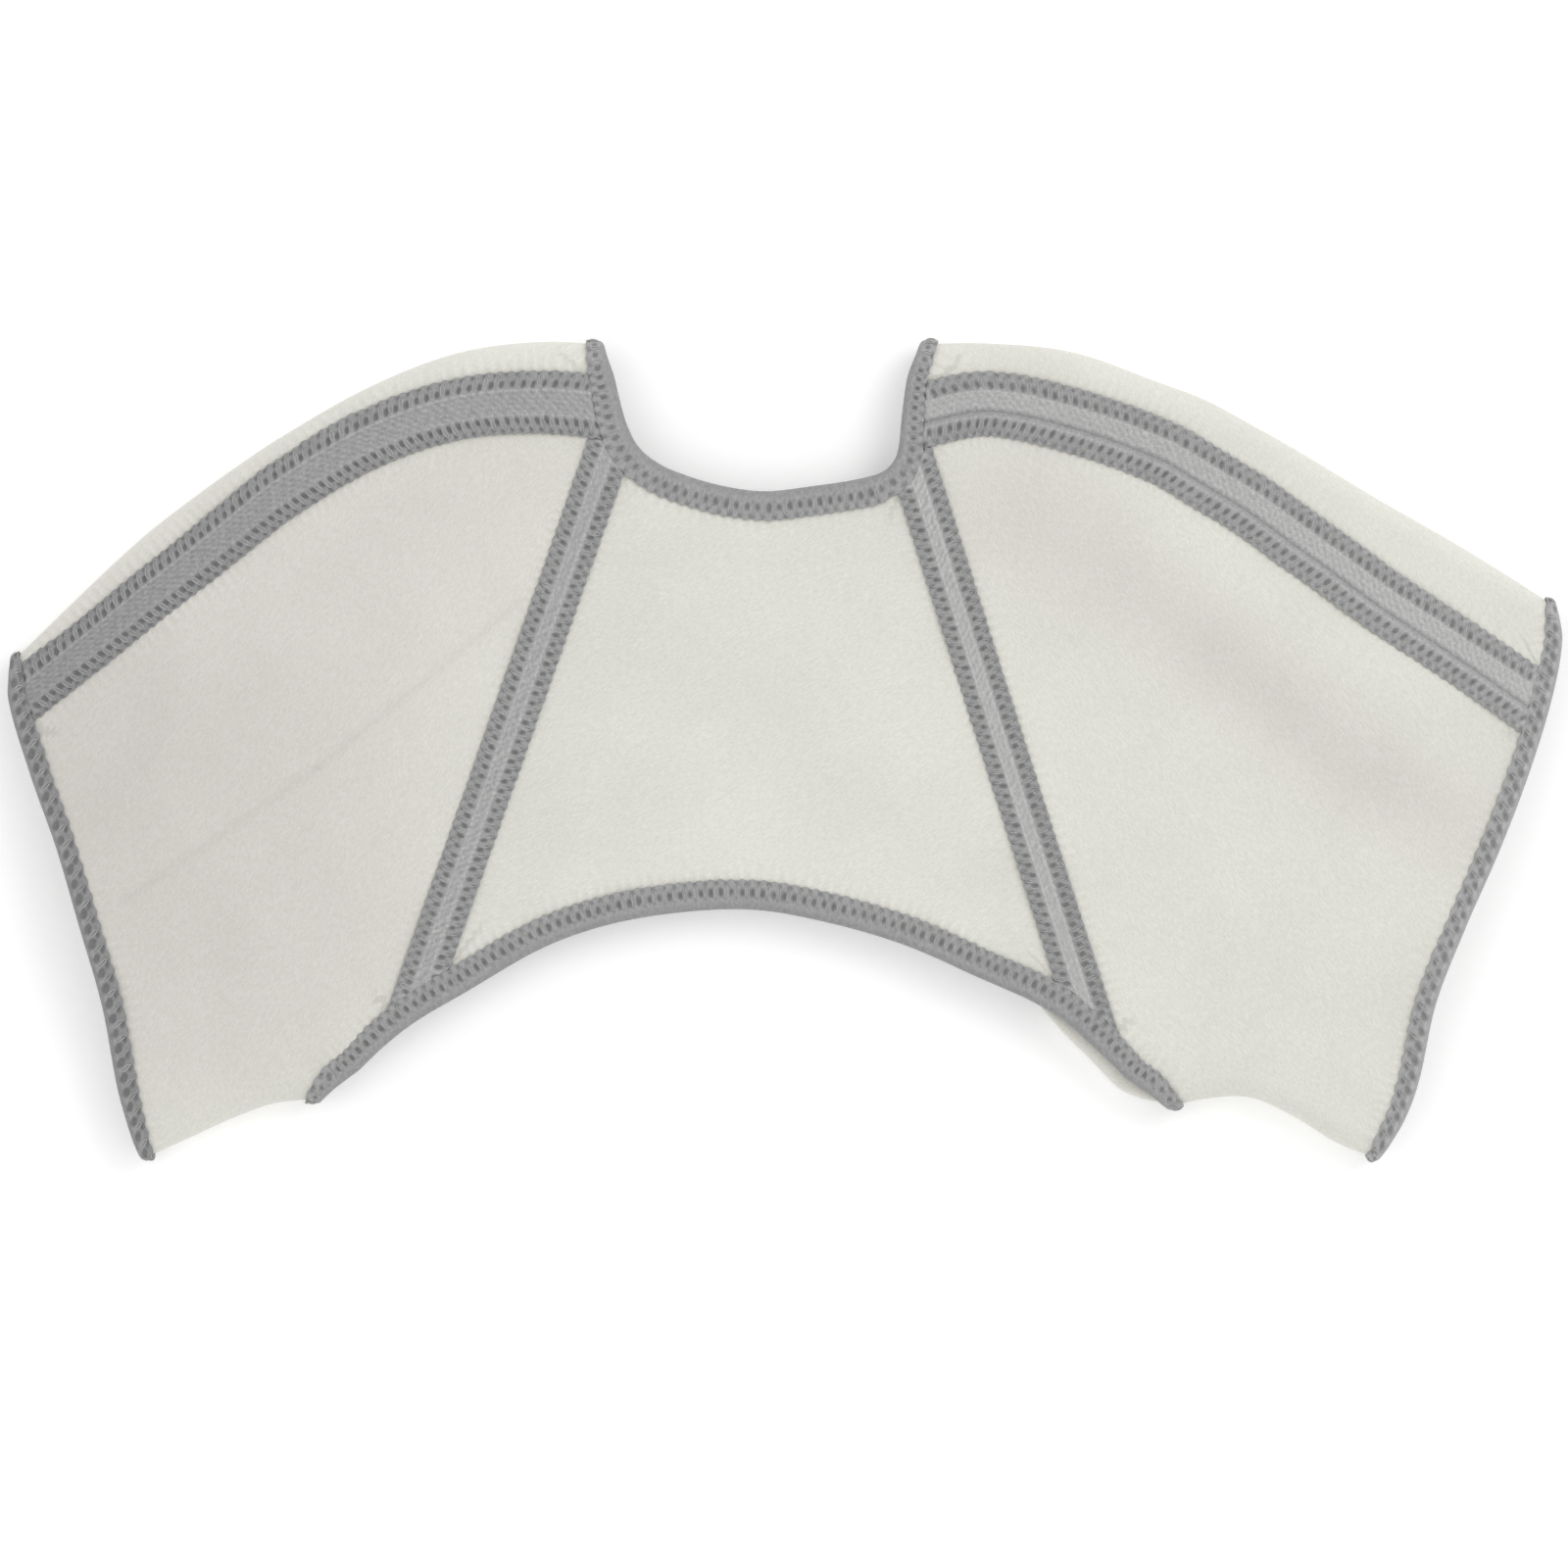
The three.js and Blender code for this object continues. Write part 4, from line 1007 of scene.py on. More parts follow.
THREAD_LOOP = [
    # along the tape in pitches, from the free edge and above the tape in millimetres
    (0.0, 1.1, -0.25), (-0.13, 2.2, 0.3), (-0.2, 3.7, 0.46), (-0.15, 5.3, 0.4),
    (0.0, 6.9, -0.1), (0.17, 5.2, 0.44), (0.2, 3.6, 0.48), (0.12, 2.1, 0.3),
]
THREAD_SIDES = 4
# Threads that the brace rests on are pressed flat, this far below the tape.
PRESSED = 0.15


def tube_rings(path, radius):
    """Rings of a closed tube round each closed path: path has shape (stitches, points, 3)."""
    ahead = unit(np.roll(path, -1, axis=1) - np.roll(path, 1, axis=1))
    middle = path.mean(axis=1, keepdims=True)
    out = unit(path - middle)
    side = unit(np.cross(ahead, out))
    out = np.cross(side, ahead)
    rings = []
    for k in range(THREAD_SIDES):
        angle = 2 * math.pi * (k + 0.5) / THREAD_SIDES
        rings.append(path + radius * (math.cos(angle) * out + math.sin(angle) * side))
    return np.stack(rings, axis=2)


def thread_mesh(name, loops, radius):
    """One mesh of all the stitches of a seam, from its stitches' closed paths."""
    rings = tube_rings(loops, radius)
    stitches, points, sides, _ = rings.shape
    vertices = rings.reshape(-1, 3)
    vertices[:, 2] = np.maximum(vertices[:, 2], -PRESSED)
    ring, side = np.arange(points)[:, None], np.arange(sides)
    next_ring, next_side = (ring + 1) % points, (side + 1) % sides
    corners = ((ring, side), (ring, next_side), (next_ring, next_side), (next_ring, side))
    one = np.stack([(p * sides + k).ravel() for p, k in corners], axis=1)
    faces = (one[None] + np.arange(stitches)[:, None, None] * points * sides).reshape(-1, 4)
    mesh = bpy.data.meshes.new(name)
    mesh.from_pydata(in_metres(vertices), [], faces.tolist())
    mesh.update()
    piece = bpy.data.objects.new(name, mesh)
    bpy.context.scene.collection.objects.link(piece)
    select_only(piece)
    edited()
    bpy.ops.object.shade_smooth()
    return piece


THREAD_JITTER = 0.12


def vectors_at(at, along, vectors):
    """Unit vectors between those of a line's points."""
    return unit(np.stack([np.interp(at, along, column) for column in vectors.T], 1))


def stitch_loops(x, s, heading, ahead, reach, kind, pitch, side=1.0, keep=1.0, seed=0):
    """Closed paths of stitches: x, s and headings are those of the free edge's opposite end."""
    paths = []
    rng = np.random.default_rng(seed)
    for du, e, height in THREAD_LOOP:
        e = e * kind.spread
        px, ps = walked(x, s, heading, [reach - e], keep)
        px, ps = px[0], ps[0]
        jitter = rng.uniform(-THREAD_JITTER, THREAD_JITTER, len(x))
        shift = du * min(pitch, MIDDLE_PITCH) + kind.slant * (e - kind.oval_at) + jitter
        out = OUTER_HEIGHT + fold_gap(ps) + height
        paths.append(surface(px, ps) + side * normal_at(px, ps) * out[:, None] + ahead * shift[:, None])
    return np.stack(paths, axis=1)


# Tapes over seams.

TAPE_STEP = 0.71
ACROSS_STEP = 0.7
SEAM_SPOTS = 200
NECK_REACH = 10.2
CUFF_REACH = 7.0
# The lower stitches of a tape start this share of a pitch before the upper ones.
ROW_SHIFT = 0.3


def shoulder_seam(side):
    sign = SIDES[side]
    inner = float(raglan_x(CORNERS[side]["back_neck"], side)) - sign * NECK_REACH
    outer = float(cuff_x(shoulder_s(sign * HALF_SPAN), side)) + sign * CUFF_REACH
    x = np.linspace(inner, outer, SEAM_SPOTS)
    return x, shoulder_s(x)


def raglan_seam(side, on_back):
    where, beyond = ("back", ARC / 2) if on_back else ("front", -ARC / 2)
    corner = CORNERS[side]
    s = np.linspace(corner[f"{where}_neck"] - beyond, corner[f"{where}_hem"] + beyond, SEAM_SPOTS)
    return raglan_x(s, side), s


def cross_share(ax, as_, bx, bs):
    """Places, in steps of line a, where line a crosses line b."""
    rx, rs = np.diff(ax)[:, None], np.diff(as_)[:, None]
    qx, qs = np.diff(bx)[None], np.diff(bs)[None]
    det = rx * qs - rs * qx
    det = np.where(np.abs(det) < 1e-14, np.nan, det)
    ox = bx[:-1][None] - ax[:-1][:, None]
    os_ = bs[:-1][None] - as_[:-1][:, None]
    t = (ox * qs - os_ * qx) / det
    w = (ox * rs - os_ * rx) / det
    hit = (t >= 0) & (t <= 1) & (w >= 0) & (w <= 1)
    return np.nonzero(hit)[0] + t[hit]


def tape(name, seam, width, limits, kind, settings, seed, lower=1.0, groove=None, bright=0.0,
         fade=0.0, narrowing=0.0):
    """A tape over a seam, trimmed where it runs under a binding or another tape."""
    pitch = stitch_pitch(kind, settings)
    x, s = seam
    along = distance_along(surface(x, s))
    count = int(along[-1] / TAPE_STEP)
    at = np.linspace(0, along[-1], count + 1)
    x, s = np.interp(at, along, x), np.interp(at, along, s)
    points = surface(x, s)
    ahead = unit(np.gradient(points, axis=0))
    sideways = unit(np.cross(normal_at(x, s), ahead))
    half = width / 2
    across = np.arange(0, half, ACROSS_STEP)
    across = np.append(across[across < half - 0.3], [half - 0.12, half])

    def narrow(distance):
        return 1 - narrowing * distance / along[-1]

    right_x, right_s = walked(x, s, sideways, across, narrow(at))
    left_x, left_s = walked(x, s, -sideways, across, narrow(at))
    grid_x = np.concatenate([left_x[:0:-1], right_x])
    grid_s = np.concatenate([left_s[:0:-1], right_s])
    v = np.concatenate([-across[:0:-1], across])
    # Each line along the tape is cut where it meets a limit.
    index = np.arange(count + 1)
    lines = []
    for line_x, line_s in zip(grid_x, grid_s):
        hits = np.concatenate([cross_share(line_x, line_s, *limit) for limit in limits])
        start = max([0.0, *hits[hits < count / 2]])
        stop = min([float(count), *hits[hits > count / 2]])
        where = np.linspace(start, stop, count + 1)
        lines.append((*(np.interp(where, index, value) for value in (line_x, line_s, at)),
                      np.minimum(where - start, stop - where) * at[-1] / count))
    grid_x, grid_s, u, ends = (np.array(each) for each in zip(*lines))
    from_edge = half - np.abs(v)[:, None] + np.zeros_like(u)
    down = lower * v[:, None] + np.zeros_like(u)
    shade_a, height_a = band(u, from_edge, kind, pitch, seed)
    large = kind._replace(oval_along=kind.oval_along * 1.1, dot_along=kind.dot_along * 1.25,
                          dot_across=kind.dot_across * 1.2)
    shade_b, height_b = band(u + ROW_SHIFT * pitch, from_edge, large, pitch, seed + 17)
    shade = np.where(down > 0, shade_b, shade_a)
    height = np.where(down > 0, height_b, height_a)
    line_at = kind.oval_at + 2.2
    core = soft(from_edge, line_at - 0.6, line_at + 0.4)
    if groove is not None:
        core = core * (1 - soft(down, groove - 0.5, groove + 0.5))
    ribs = np.sin(2 * math.pi * v[:, None] / 1.05) * core
    line = np.exp(-(((from_edge - line_at) / 0.45) ** 2))
    flecks = 0.5 + 0.5 * np.sin(2 * math.pi * u / (pitch * 0.5) + 2 * weave_noise(u, v[:, None], seed + 2))
    leaning = np.sin(2 * math.pi * (u + 1.1 * v[:, None]) / (pitch * 0.85)
                     + 3 * weave_noise(u * 0.4, v[:, None] * 0.5, seed + 6))
    shade = shade + bright * core + 0.05 * ribs + 0.3 * line * (0.35 + 0.65 * flecks)
    shade = shade + 0.1 * core * leaning - fade * u / along[-1]
    height = height + 0.05 * ribs + 0.16 * line + 0.06 * core * leaning
    if groove is not None:
        dark = np.exp(-(((down - groove) / 0.6) ** 2))
        shade = shade - 0.36 * dark
        height = height - 0.4 * dark
    shade = shade + 0.17 * weave_noise(u * 1.6, v[:, None] * 2.2, seed + 9)
    height = height + 0.08 * weave_noise(u, v[:, None], seed + 3)
    edge_row = np.zeros_like(u)
    edge_row[[0, 1, -2, -1]] = 1
    height = height - EDGE_FALL * edge_row
    height = height - 1.1 * (1 - soft(ends, 0.0, 2.6))
    top = OUTER_HEIGHT + fold_gap(grid_s) + height
    on_front = np.mod(grid_s, 2) > 1
    top = np.where(on_front, np.minimum(top, OUTER_HEIGHT + fold_gap(grid_s)), top)
    shift = scallop(u, pitch, seed) * edge_row * np.sign(v)[:, None]
    sideways_here = unit(np.gradient(surface(grid_x, grid_s), axis=0))
    normal = normal_at(grid_x, grid_s)
    middle = surface(grid_x, grid_s) + sideways_here * shift[..., None]
    upper = middle + normal * top[..., None]
    beneath = middle + normal * INNER_HEIGHT
    points = np.concatenate([upper, beneath[::-1], upper[:1]])
    shades = np.concatenate([0.5 + shade, np.full_like(shade, HIDDEN_SHADE), 0.5 + shade[:1]])
    piece = grid_piece(
        name, count, len(points) - 1, lambda i, j: points[j, i], closed=True,
        attributes={"shade": lambda i, j: shades[j, i]},
    )
    close_ends(piece)
    return piece, dict(x=x, s=s, ahead=ahead, sideways=sideways, at=at, half=half, pitch=pitch,
                       lines=(grid_x, grid_s, u, v), narrow=narrow, lower=lower)


# Materials.

def node(tree, kind, **inputs):
    made = tree.nodes.new(kind)
    for key, value in inputs.items():
        made.inputs[key].default_value = value
    return made


def link(tree, source, target):
    tree.links.new(source, target)


def math_node(tree, operation, *values):
    made = tree.nodes.new("ShaderNodeMath")
    made.operation = operation
    for socket, value in enumerate(values):
        if isinstance(value, bpy.types.NodeSocket):
            link(tree, value, made.inputs[socket])
        else:
            made.inputs[socket].default_value = value
    return made.outputs[0]


def fibre_group():
    """Fine fibres and knit lines: a mask of light and dark, and a height."""
    group = bpy.data.node_groups.new("Fibre grain", "ShaderNodeTree")
    face = group.interface
    for name, low in (("Scale", 900.0), ("Stretch", 4.0), ("Cloud scale", 40.0)):
        face.new_socket(name, in_out="INPUT", socket_type="NodeSocketFloat").default_value = low
    face.new_socket("Vector", in_out="INPUT", socket_type="NodeSocketVector")
    for name in ("Mask", "Height", "Cloud"):
        face.new_socket(name, in_out="OUTPUT", socket_type="NodeSocketFloat")
    start = group.nodes.new("NodeGroupInput")
    end = group.nodes.new("NodeGroupOutput")
    fine = node(group, "ShaderNodeTexNoise", Detail=6.0, Roughness=0.65)
    link(group, start.outputs["Vector"], fine.inputs["Vector"])
    link(group, start.outputs["Scale"], fine.inputs["Scale"])
    cloud = node(group, "ShaderNodeTexNoise", Detail=3.0, Roughness=0.5)
    link(group, start.outputs["Vector"], cloud.inputs["Vector"])
    link(group, start.outputs["Cloud scale"], cloud.inputs["Scale"])
    stretch = group.nodes.new("ShaderNodeVectorMath")
    stretch.operation = "MULTIPLY"
    link(group, start.outputs["Vector"], stretch.inputs[0])
    combine = node(group, "ShaderNodeCombineXYZ", Y=1.0, Z=1.0)
    link(group, start.outputs["Stretch"], combine.inputs["X"])
    link(group, combine.outputs["Vector"], stretch.inputs[1])
    lines = node(group, "ShaderNodeTexNoise", Detail=2.0, Roughness=0.5)
    link(group, stretch.outputs["Vector"], lines.inputs["Vector"])
    link(group, math_node(group, "MULTIPLY", start.outputs["Scale"], 0.35), lines.inputs["Scale"])
    both = math_node(group, "ADD", fine.outputs["Fac"], lines.outputs["Fac"])
    mean = math_node(group, "MULTIPLY", both, 0.5)
    link(group, mean, end.inputs["Mask"])
    link(group, mean, end.inputs["Height"])
    link(group, cloud.outputs["Fac"], end.inputs["Cloud"])
    return group


def new_material(name):
    material = bpy.data.materials.new(name)
    material.use_nodes = True
    tree = material.node_tree
    tree.nodes.clear()
    out = tree.nodes.new("ShaderNodeOutputMaterial")
    shader = tree.nodes.new("ShaderNodeBsdfPrincipled")
    link(tree, shader.outputs["BSDF"], out.inputs["Surface"])
    return material, tree, shader


def mixed(tree, factor, first, second, blend="MIX"):
    mix = tree.nodes.new("ShaderNodeMix")
    mix.data_type = "RGBA"
    mix.blend_type = blend
    for socket, value in ((0, factor), (6, first), (7, second)):
        if isinstance(value, bpy.types.NodeSocket):
            link(tree, value, mix.inputs[socket])
        else:
            mix.inputs[socket].default_value = value if socket == 0 else (*value, 1.0)[:4]
    return mix.outputs[2]


def ranged(tree, value, low, high, to_low, to_high):
    made = tree.nodes.new("ShaderNodeMapRange")
    for socket, number in zip(range(1, 5), (low, high, to_low, to_high)):
        made.inputs[socket].default_value = number
    link(tree, value, made.inputs[0])
    return made.outputs[0]


def attribute(tree, name):
    made = tree.nodes.new("ShaderNodeAttribute")
    made.attribute_name = name
    return made.outputs["Fac"]


def grain_on(tree, group, vector, **values):
    """The fibre grain placed in a material: its outputs."""
    grain = tree.nodes.new("ShaderNodeGroup")
    grain.node_tree = group
    for key, value in values.items():
        grain.inputs[key.capitalize().replace("_", " ")].default_value = value
    link(tree, vector, grain.inputs["Vector"])
    return grain.outputs


def surfaced(tree, shader, colour, height, strength, distance, values):
    """Sets a finish's colour, bump and constants."""
    link(tree, colour, shader.inputs["Base Color"])
    bump = node(tree, "ShaderNodeBump", Strength=strength, Distance=distance)
    link(tree, height, bump.inputs["Height"])
    link(tree, bump.outputs["Normal"], shader.inputs["Normal"])
    for key, value in values.items():
        shader.inputs[key].default_value = value


def pucker_waves(tree, uneven):
    """Short creases square to a tape, -1 to 1, only beside it."""
    phase = math_node(tree, "MULTIPLY", attribute(tree, "along"), 2 * math.pi / MIDDLE_PITCH)
    phase = math_node(tree, "MULTIPLY_ADD", uneven, 14.0, phase)
    wave = math_node(tree, "SINE", phase)
    strength = ranged(tree, uneven, 0.35, 0.6, 0.25, 1.0)
    beside = math_node(tree, "MULTIPLY", attribute(tree, "beside"), strength)
    return math_node(tree, "MULTIPLY", wave, beside)


def fleece(name, group, light, dark, turn):
    """Brushed knit: a soft nap over fine slanted knit lines."""
    material, tree, shader = new_material(name)
    where = tree.nodes.new("ShaderNodeTexCoord")
    mapping = node(tree, "ShaderNodeMapping", Rotation=(0, 0, math.radians(turn)))
    link(tree, where.outputs["Object"], mapping.inputs["Vector"])
    grain = grain_on(tree, group, mapping.outputs["Vector"], scale=1300.0, stretch=3.2, cloud_scale=18.0)
    cloud = ranged(tree, grain["Cloud"], 0.35, 0.65, 0.0, 1.0)
    base = mixed(tree, cloud, dark, light)
    fine = ranged(tree, grain["Mask"], 0.38, 0.62, 0.0, 1.0)
    shadow = tuple(channel * 0.88 for channel in light)
    speckled = mixed(tree, fine, shadow, (1.0, 1.0, 1.0))
    colour = mixed(tree, 0.4, base, speckled, "MULTIPLY")
    pucker = pucker_waves(tree, grain["Cloud"])
    # Painted shade: the painted-shade attribute darkens the fleece towards a greyish shadow colour.
    painted_dark = math_node(tree, "MULTIPLY", attribute(tree, "painted_shade"), 2.5)
    tint = mixed(tree, painted_dark, (1.0, 1.0, 1.0), (0.6, 0.536, 0.58))
    # Painted light and shade along the pucker creases: the colour is made lighter and darker with the same
    # waves as their bump.
    for value in (tint, ranged(tree, pucker, -1.0, 1.0, 0.96, 1.035)):
        colour = mixed(tree, 1.0, colour, value, "MULTIPLY")
    height = math_node(tree, "MULTIPLY_ADD", pucker, 0.8, grain["Height"])
    surfaced(tree, shader, colour, height, 0.4, 0.0006, {
        "Roughness": 0.96, "Sheen Weight": 0.25, "Sheen Roughness": 0.6, "Specular IOR Level": 0.1})
    return material


def elastic(name, group, dark, middle, light):
    """Ribbed tape: its shade comes from the stitched band laid on the mesh."""
    material, tree, shader = new_material(name)
    where = tree.nodes.new("ShaderNodeTexCoord")
    grain = grain_on(tree, group, where.outputs["Object"], scale=1500.0, stretch=2.0, cloud_scale=30.0)
    ramp = tree.nodes.new("ShaderNodeValToRGB")
    first, last = ramp.color_ramp.elements
    first.position, first.color = 0.08, (*dark, 1)
    last.position, last.color = 0.95, (*light, 1)
    ramp.color_ramp.elements.new(0.5).color = (*middle, 1)
    link(tree, attribute(tree, "shade"), ramp.inputs["Fac"])
    fine = ranged(tree, grain["Mask"], 0.35, 0.65, 0.82, 1.12)
    colour = mixed(tree, 1.0, ramp.outputs["Color"], fine, "MULTIPLY")
    surfaced(tree, shader, colour, grain["Height"], 0.5, 0.0004, {
        "Roughness": 0.88, "Sheen Weight": 0.12, "Specular IOR Level": 0.2})
    return material


def sewing_thread(name, group, colour):
    """Twisted thread, a little uneven in colour."""
    material, tree, shader = new_material(name)
    where = tree.nodes.new("ShaderNodeTexCoord")
    grain = grain_on(tree, group, where.outputs["Object"], scale=2500.0, cloud_scale=160.0)
    cloud = ranged(tree, grain["Cloud"], 0.3, 0.7, 0.0, 1.0)
    base = mixed(tree, cloud, tuple(c * 0.78 for c in colour), colour)
    surfaced(tree, shader, base, grain["Height"], 0.4, 0.0002, {"Roughness": 0.7})
    return material


# Settings.

def length(name, description, millimetres):
    return bpy.props.FloatProperty(
        name=name, description=description, default=millimetres * MM, unit="LENGTH", precision=4)


def colour(name, description, value):
    return bpy.props.FloatVectorProperty(
        name=name, description=description, default=value, subtype="COLOR", size=3, min=0, max=1)


class BraceCloth(bpy.types.PropertyGroup):
    light: colour("Light fleece", "Raised nap of the fleece", (0.812, 0.807, 0.748))
    dark: colour("Deep fleece", "Fleece between the nap", (0.771, 0.765, 0.708))
    cell: length("Cell", "Width of the cloth's mesh cells", 2.2)


class BraceTape(bpy.types.PropertyGroup):
    shoulder_width: length("Shoulder tape", "Width of the tape over each shoulder seam", 25.0)
    raglan_width: length("Raglan tape", "Width of the tape over each raglan seam", 17.5)
    reach: length("Binding", "Reach of the neck and hem binding over each face", NECK_REACH)
    cuff_reach: length("Cuff binding", "Reach of the cuff binding over each face", CUFF_REACH)
    stitch_pitch: length("Stitch", "Length of one cover stitch on a seam tape", MIDDLE_PITCH)
    thread: length("Thread", "Radius of the sewing thread", 0.3)
    dark: colour("Shaded tape", "Tape in the hollows between stitches", (0.195, 0.195, 0.197))
    middle: colour("Tape", "Tape between the stitches", (0.355, 0.356, 0.357))
    light: colour("Raised tape", "Tape where its ribs and threads stand up", (0.54, 0.54, 0.53))
    thread_colour: colour("Thread colour", "Colour of the sewing thread", (0.45, 0.45, 0.445))


class BraceStage(bpy.types.PropertyGroup):
    distance: bpy.props.FloatProperty(
        name="Camera height", description="Height of the camera over the brace", default=3.0, unit="LENGTH")
    view_width: bpy.props.FloatProperty(
        name="View width", description="Width that the picture covers", default=0.608, unit="LENGTH")
    power: bpy.props.FloatProperty(
        name="Light", description="Power of the soft main light", default=16.0, unit="POWER")
    floor: colour("Floor", "Colour of the floor", (1.0, 1.0, 1.0))


MATERIALS = {}


def materials():
    """The brace's finishes, made once."""
    if not MATERIALS:
        cloth_set = bpy.context.scene.brace_cloth
        tape_set = bpy.context.scene.brace_tape
        group = fibre_group()
        light, dark = tuple(cloth_set.light), tuple(cloth_set.dark)
        MATERIALS["body"] = fleece("Fleece body", group, light, dark, 58)
        MATERIALS["left"] = fleece("Fleece left sleeve", group, light, dark, 30)
        MATERIALS["right"] = fleece("Fleece right sleeve", group, light, dark, -32)
        for key, name in (("tape", "Seam tape"), ("binding", "Edge binding")):
            MATERIALS[key] = elastic(name, group, tape_set.dark, tape_set.middle, tape_set.light)
        MATERIALS["thread"] = sewing_thread("Sewing thread", group, tuple(tape_set.thread_colour))
    return MATERIALS


LIMITS = {}
UNDER_BINDING = 1.2
LIMIT_STEP, LIMIT_PITCH = 2.0, 8.0


def limit_lines():
    """Lines that tapes end on: a little inside the reach of each binding."""
    if not LIMITS:
        tape_set = bpy.context.scene.brace_tape
        for key, edge, middle, reach in (
            ("neck", (neck_x, neck_s), NECK_MIDDLE, tape_set.reach),
            ("hem", (hem_x, hem_s), HEM_MIDDLE, tape_set.reach),
            ("left", cuff_edge("left"), SIDES["left"], tape_set.cuff_reach),
            ("right", cuff_edge("right"), SIDES["right"], tape_set.cuff_reach),
        ):
            x, s, _, _ = loop_spots(*edge, LIMIT_STEP, LIMIT_PITCH)
            heading = inward_headings(x, s, middle)
            end_x, end_s = walked(x, s, heading, [reach / MM - UNDER_BINDING], taper(x, s))
            LIMITS[key] = (np.append(end_x[0], end_x[0][0]), np.append(end_s[0], end_s[0][0]))
        for side in SIDES:
            x, s = LIMITS[side]
            s = np.where(s > 1.5, s - 2, s)
            order = np.argsort(s)
            LIMITS[side] = (x[order], s[order])
    return LIMITS


def cuff_edge(side):
    """x and s round a cuff's cut edge."""
    s = np.linspace(0, 2, 600, endpoint=False)
    return cuff_x(s, side), s


# Width and length of each kind of panel: its mesh in millimetres, and its flat cut in metres.
PANEL_MESH, PANEL_FLAT = (270, 200), (0.27, 0.245)
SLEEVE_MESH, SLEEVE_FLAT = (230, 540), (0.25, 0.56)


class OBJECT_OT_brace_panels(bpy.types.Operator):
    """Back and front panels of fleece"""

    bl_idname = "object.brace_panels"
    bl_label = "Body panels"

    def execute(self, context):
        cell = context.scene.brace_cloth.cell / MM
        for name, on_back in (("back", True), ("front", False)):
            columns, rows = (round(size / cell) for size in PANEL_MESH)
            x, s = panel_spots(on_back, columns, rows)
            piece = cloth(f"{name}_fleece", columns, rows, x, s)
            finished(piece, materials()["body"], "fleece", f"{name}_panel")
        return {"FINISHED"}


class OBJECT_OT_brace_sleeves(bpy.types.Operator):
    """Raglan sleeves of fleece, each one panel wrapped round the arm"""

    bl_idname = "object.brace_sleeves"
    bl_label = "Sleeves"

    def execute(self, context):
        cell = context.scene.brace_cloth.cell / MM
        for side in SIDES:
            columns, rows = (round(size / cell) for size in SLEEVE_MESH)
            x, s = sleeve_spots(side, columns, rows)
            piece = cloth(f"{side}_sleeve_fleece", columns, rows, x, s)
            finished(piece, materials()[side], "fleece", f"sleeve_{side}")
        return {"FINISHED"}


class OBJECT_OT_brace_bindings(bpy.types.Operator):
    """Bindings folded round the neck, hem and cuffs, with their stitches"""

    bl_idname = "object.brace_bindings"
    bl_label = "Bindings"

    def execute(self, context):
        tape_set = context.scene.brace_tape
        reach, cuff = tape_set.reach / MM, tape_set.cuff_reach / MM
        edge_kind, cuff_kind = STITCHES["edge"], STITCHES["cuff"]
        rows = [
            ("neck", (neck_x, neck_s), NECK_MIDDLE, reach, edge_kind, 3, 0.06),
            ("hem", (hem_x, hem_s), HEM_MIDDLE, reach, edge_kind, 5, 0.04),
            ("cuff_left", cuff_edge("left"), SIDES["left"], cuff, cuff_kind, 8, -0.05),
            ("cuff_right", cuff_edge("right"), SIDES["right"], cuff, cuff_kind, 11, 0.24),
        ]
        for key, edge, middle, width, kind, seed, tint in rows:
            piece, facts = binding(f"{key}_tape_edge", edge, middle, width, kind, tape_set, seed, tint)
            side = key.removeprefix("cuff_")
            name = f"cuff_binding_{side}" if key.startswith("cuff") else f"{key}_binding"
            finished(piece, materials()["binding"], "binding", name)
            self.sew(key, facts, kind, tape_set)
        return {"FINISHED"}

    def sew(self, key, facts, kind, tape_set):
        """Cover stitches round a binding, on its back half and its front half."""
        pitch = facts["pitch"]
        at = np.arange(round(facts["along"][-1] / pitch)) * pitch + pitch / 2
        x, s = (np.interp(at, facts["along"], facts[word]) for word in ("x", "s"))
        heading, ahead = (vectors_at(at, facts["along"], facts[word]) for word in ("heading", "ahead"))
        for side, word in ((1.0, "outer"), (-1.0, "inner")):
            loops = stitch_loops(x, s, heading, ahead, facts["reach"], kind, pitch, side, taper(x, s), 4)
            piece = thread_mesh(f"{key}_{word}_stitches", loops, tape_set.thread / MM)
            finished(piece, materials()["thread"], "binding")


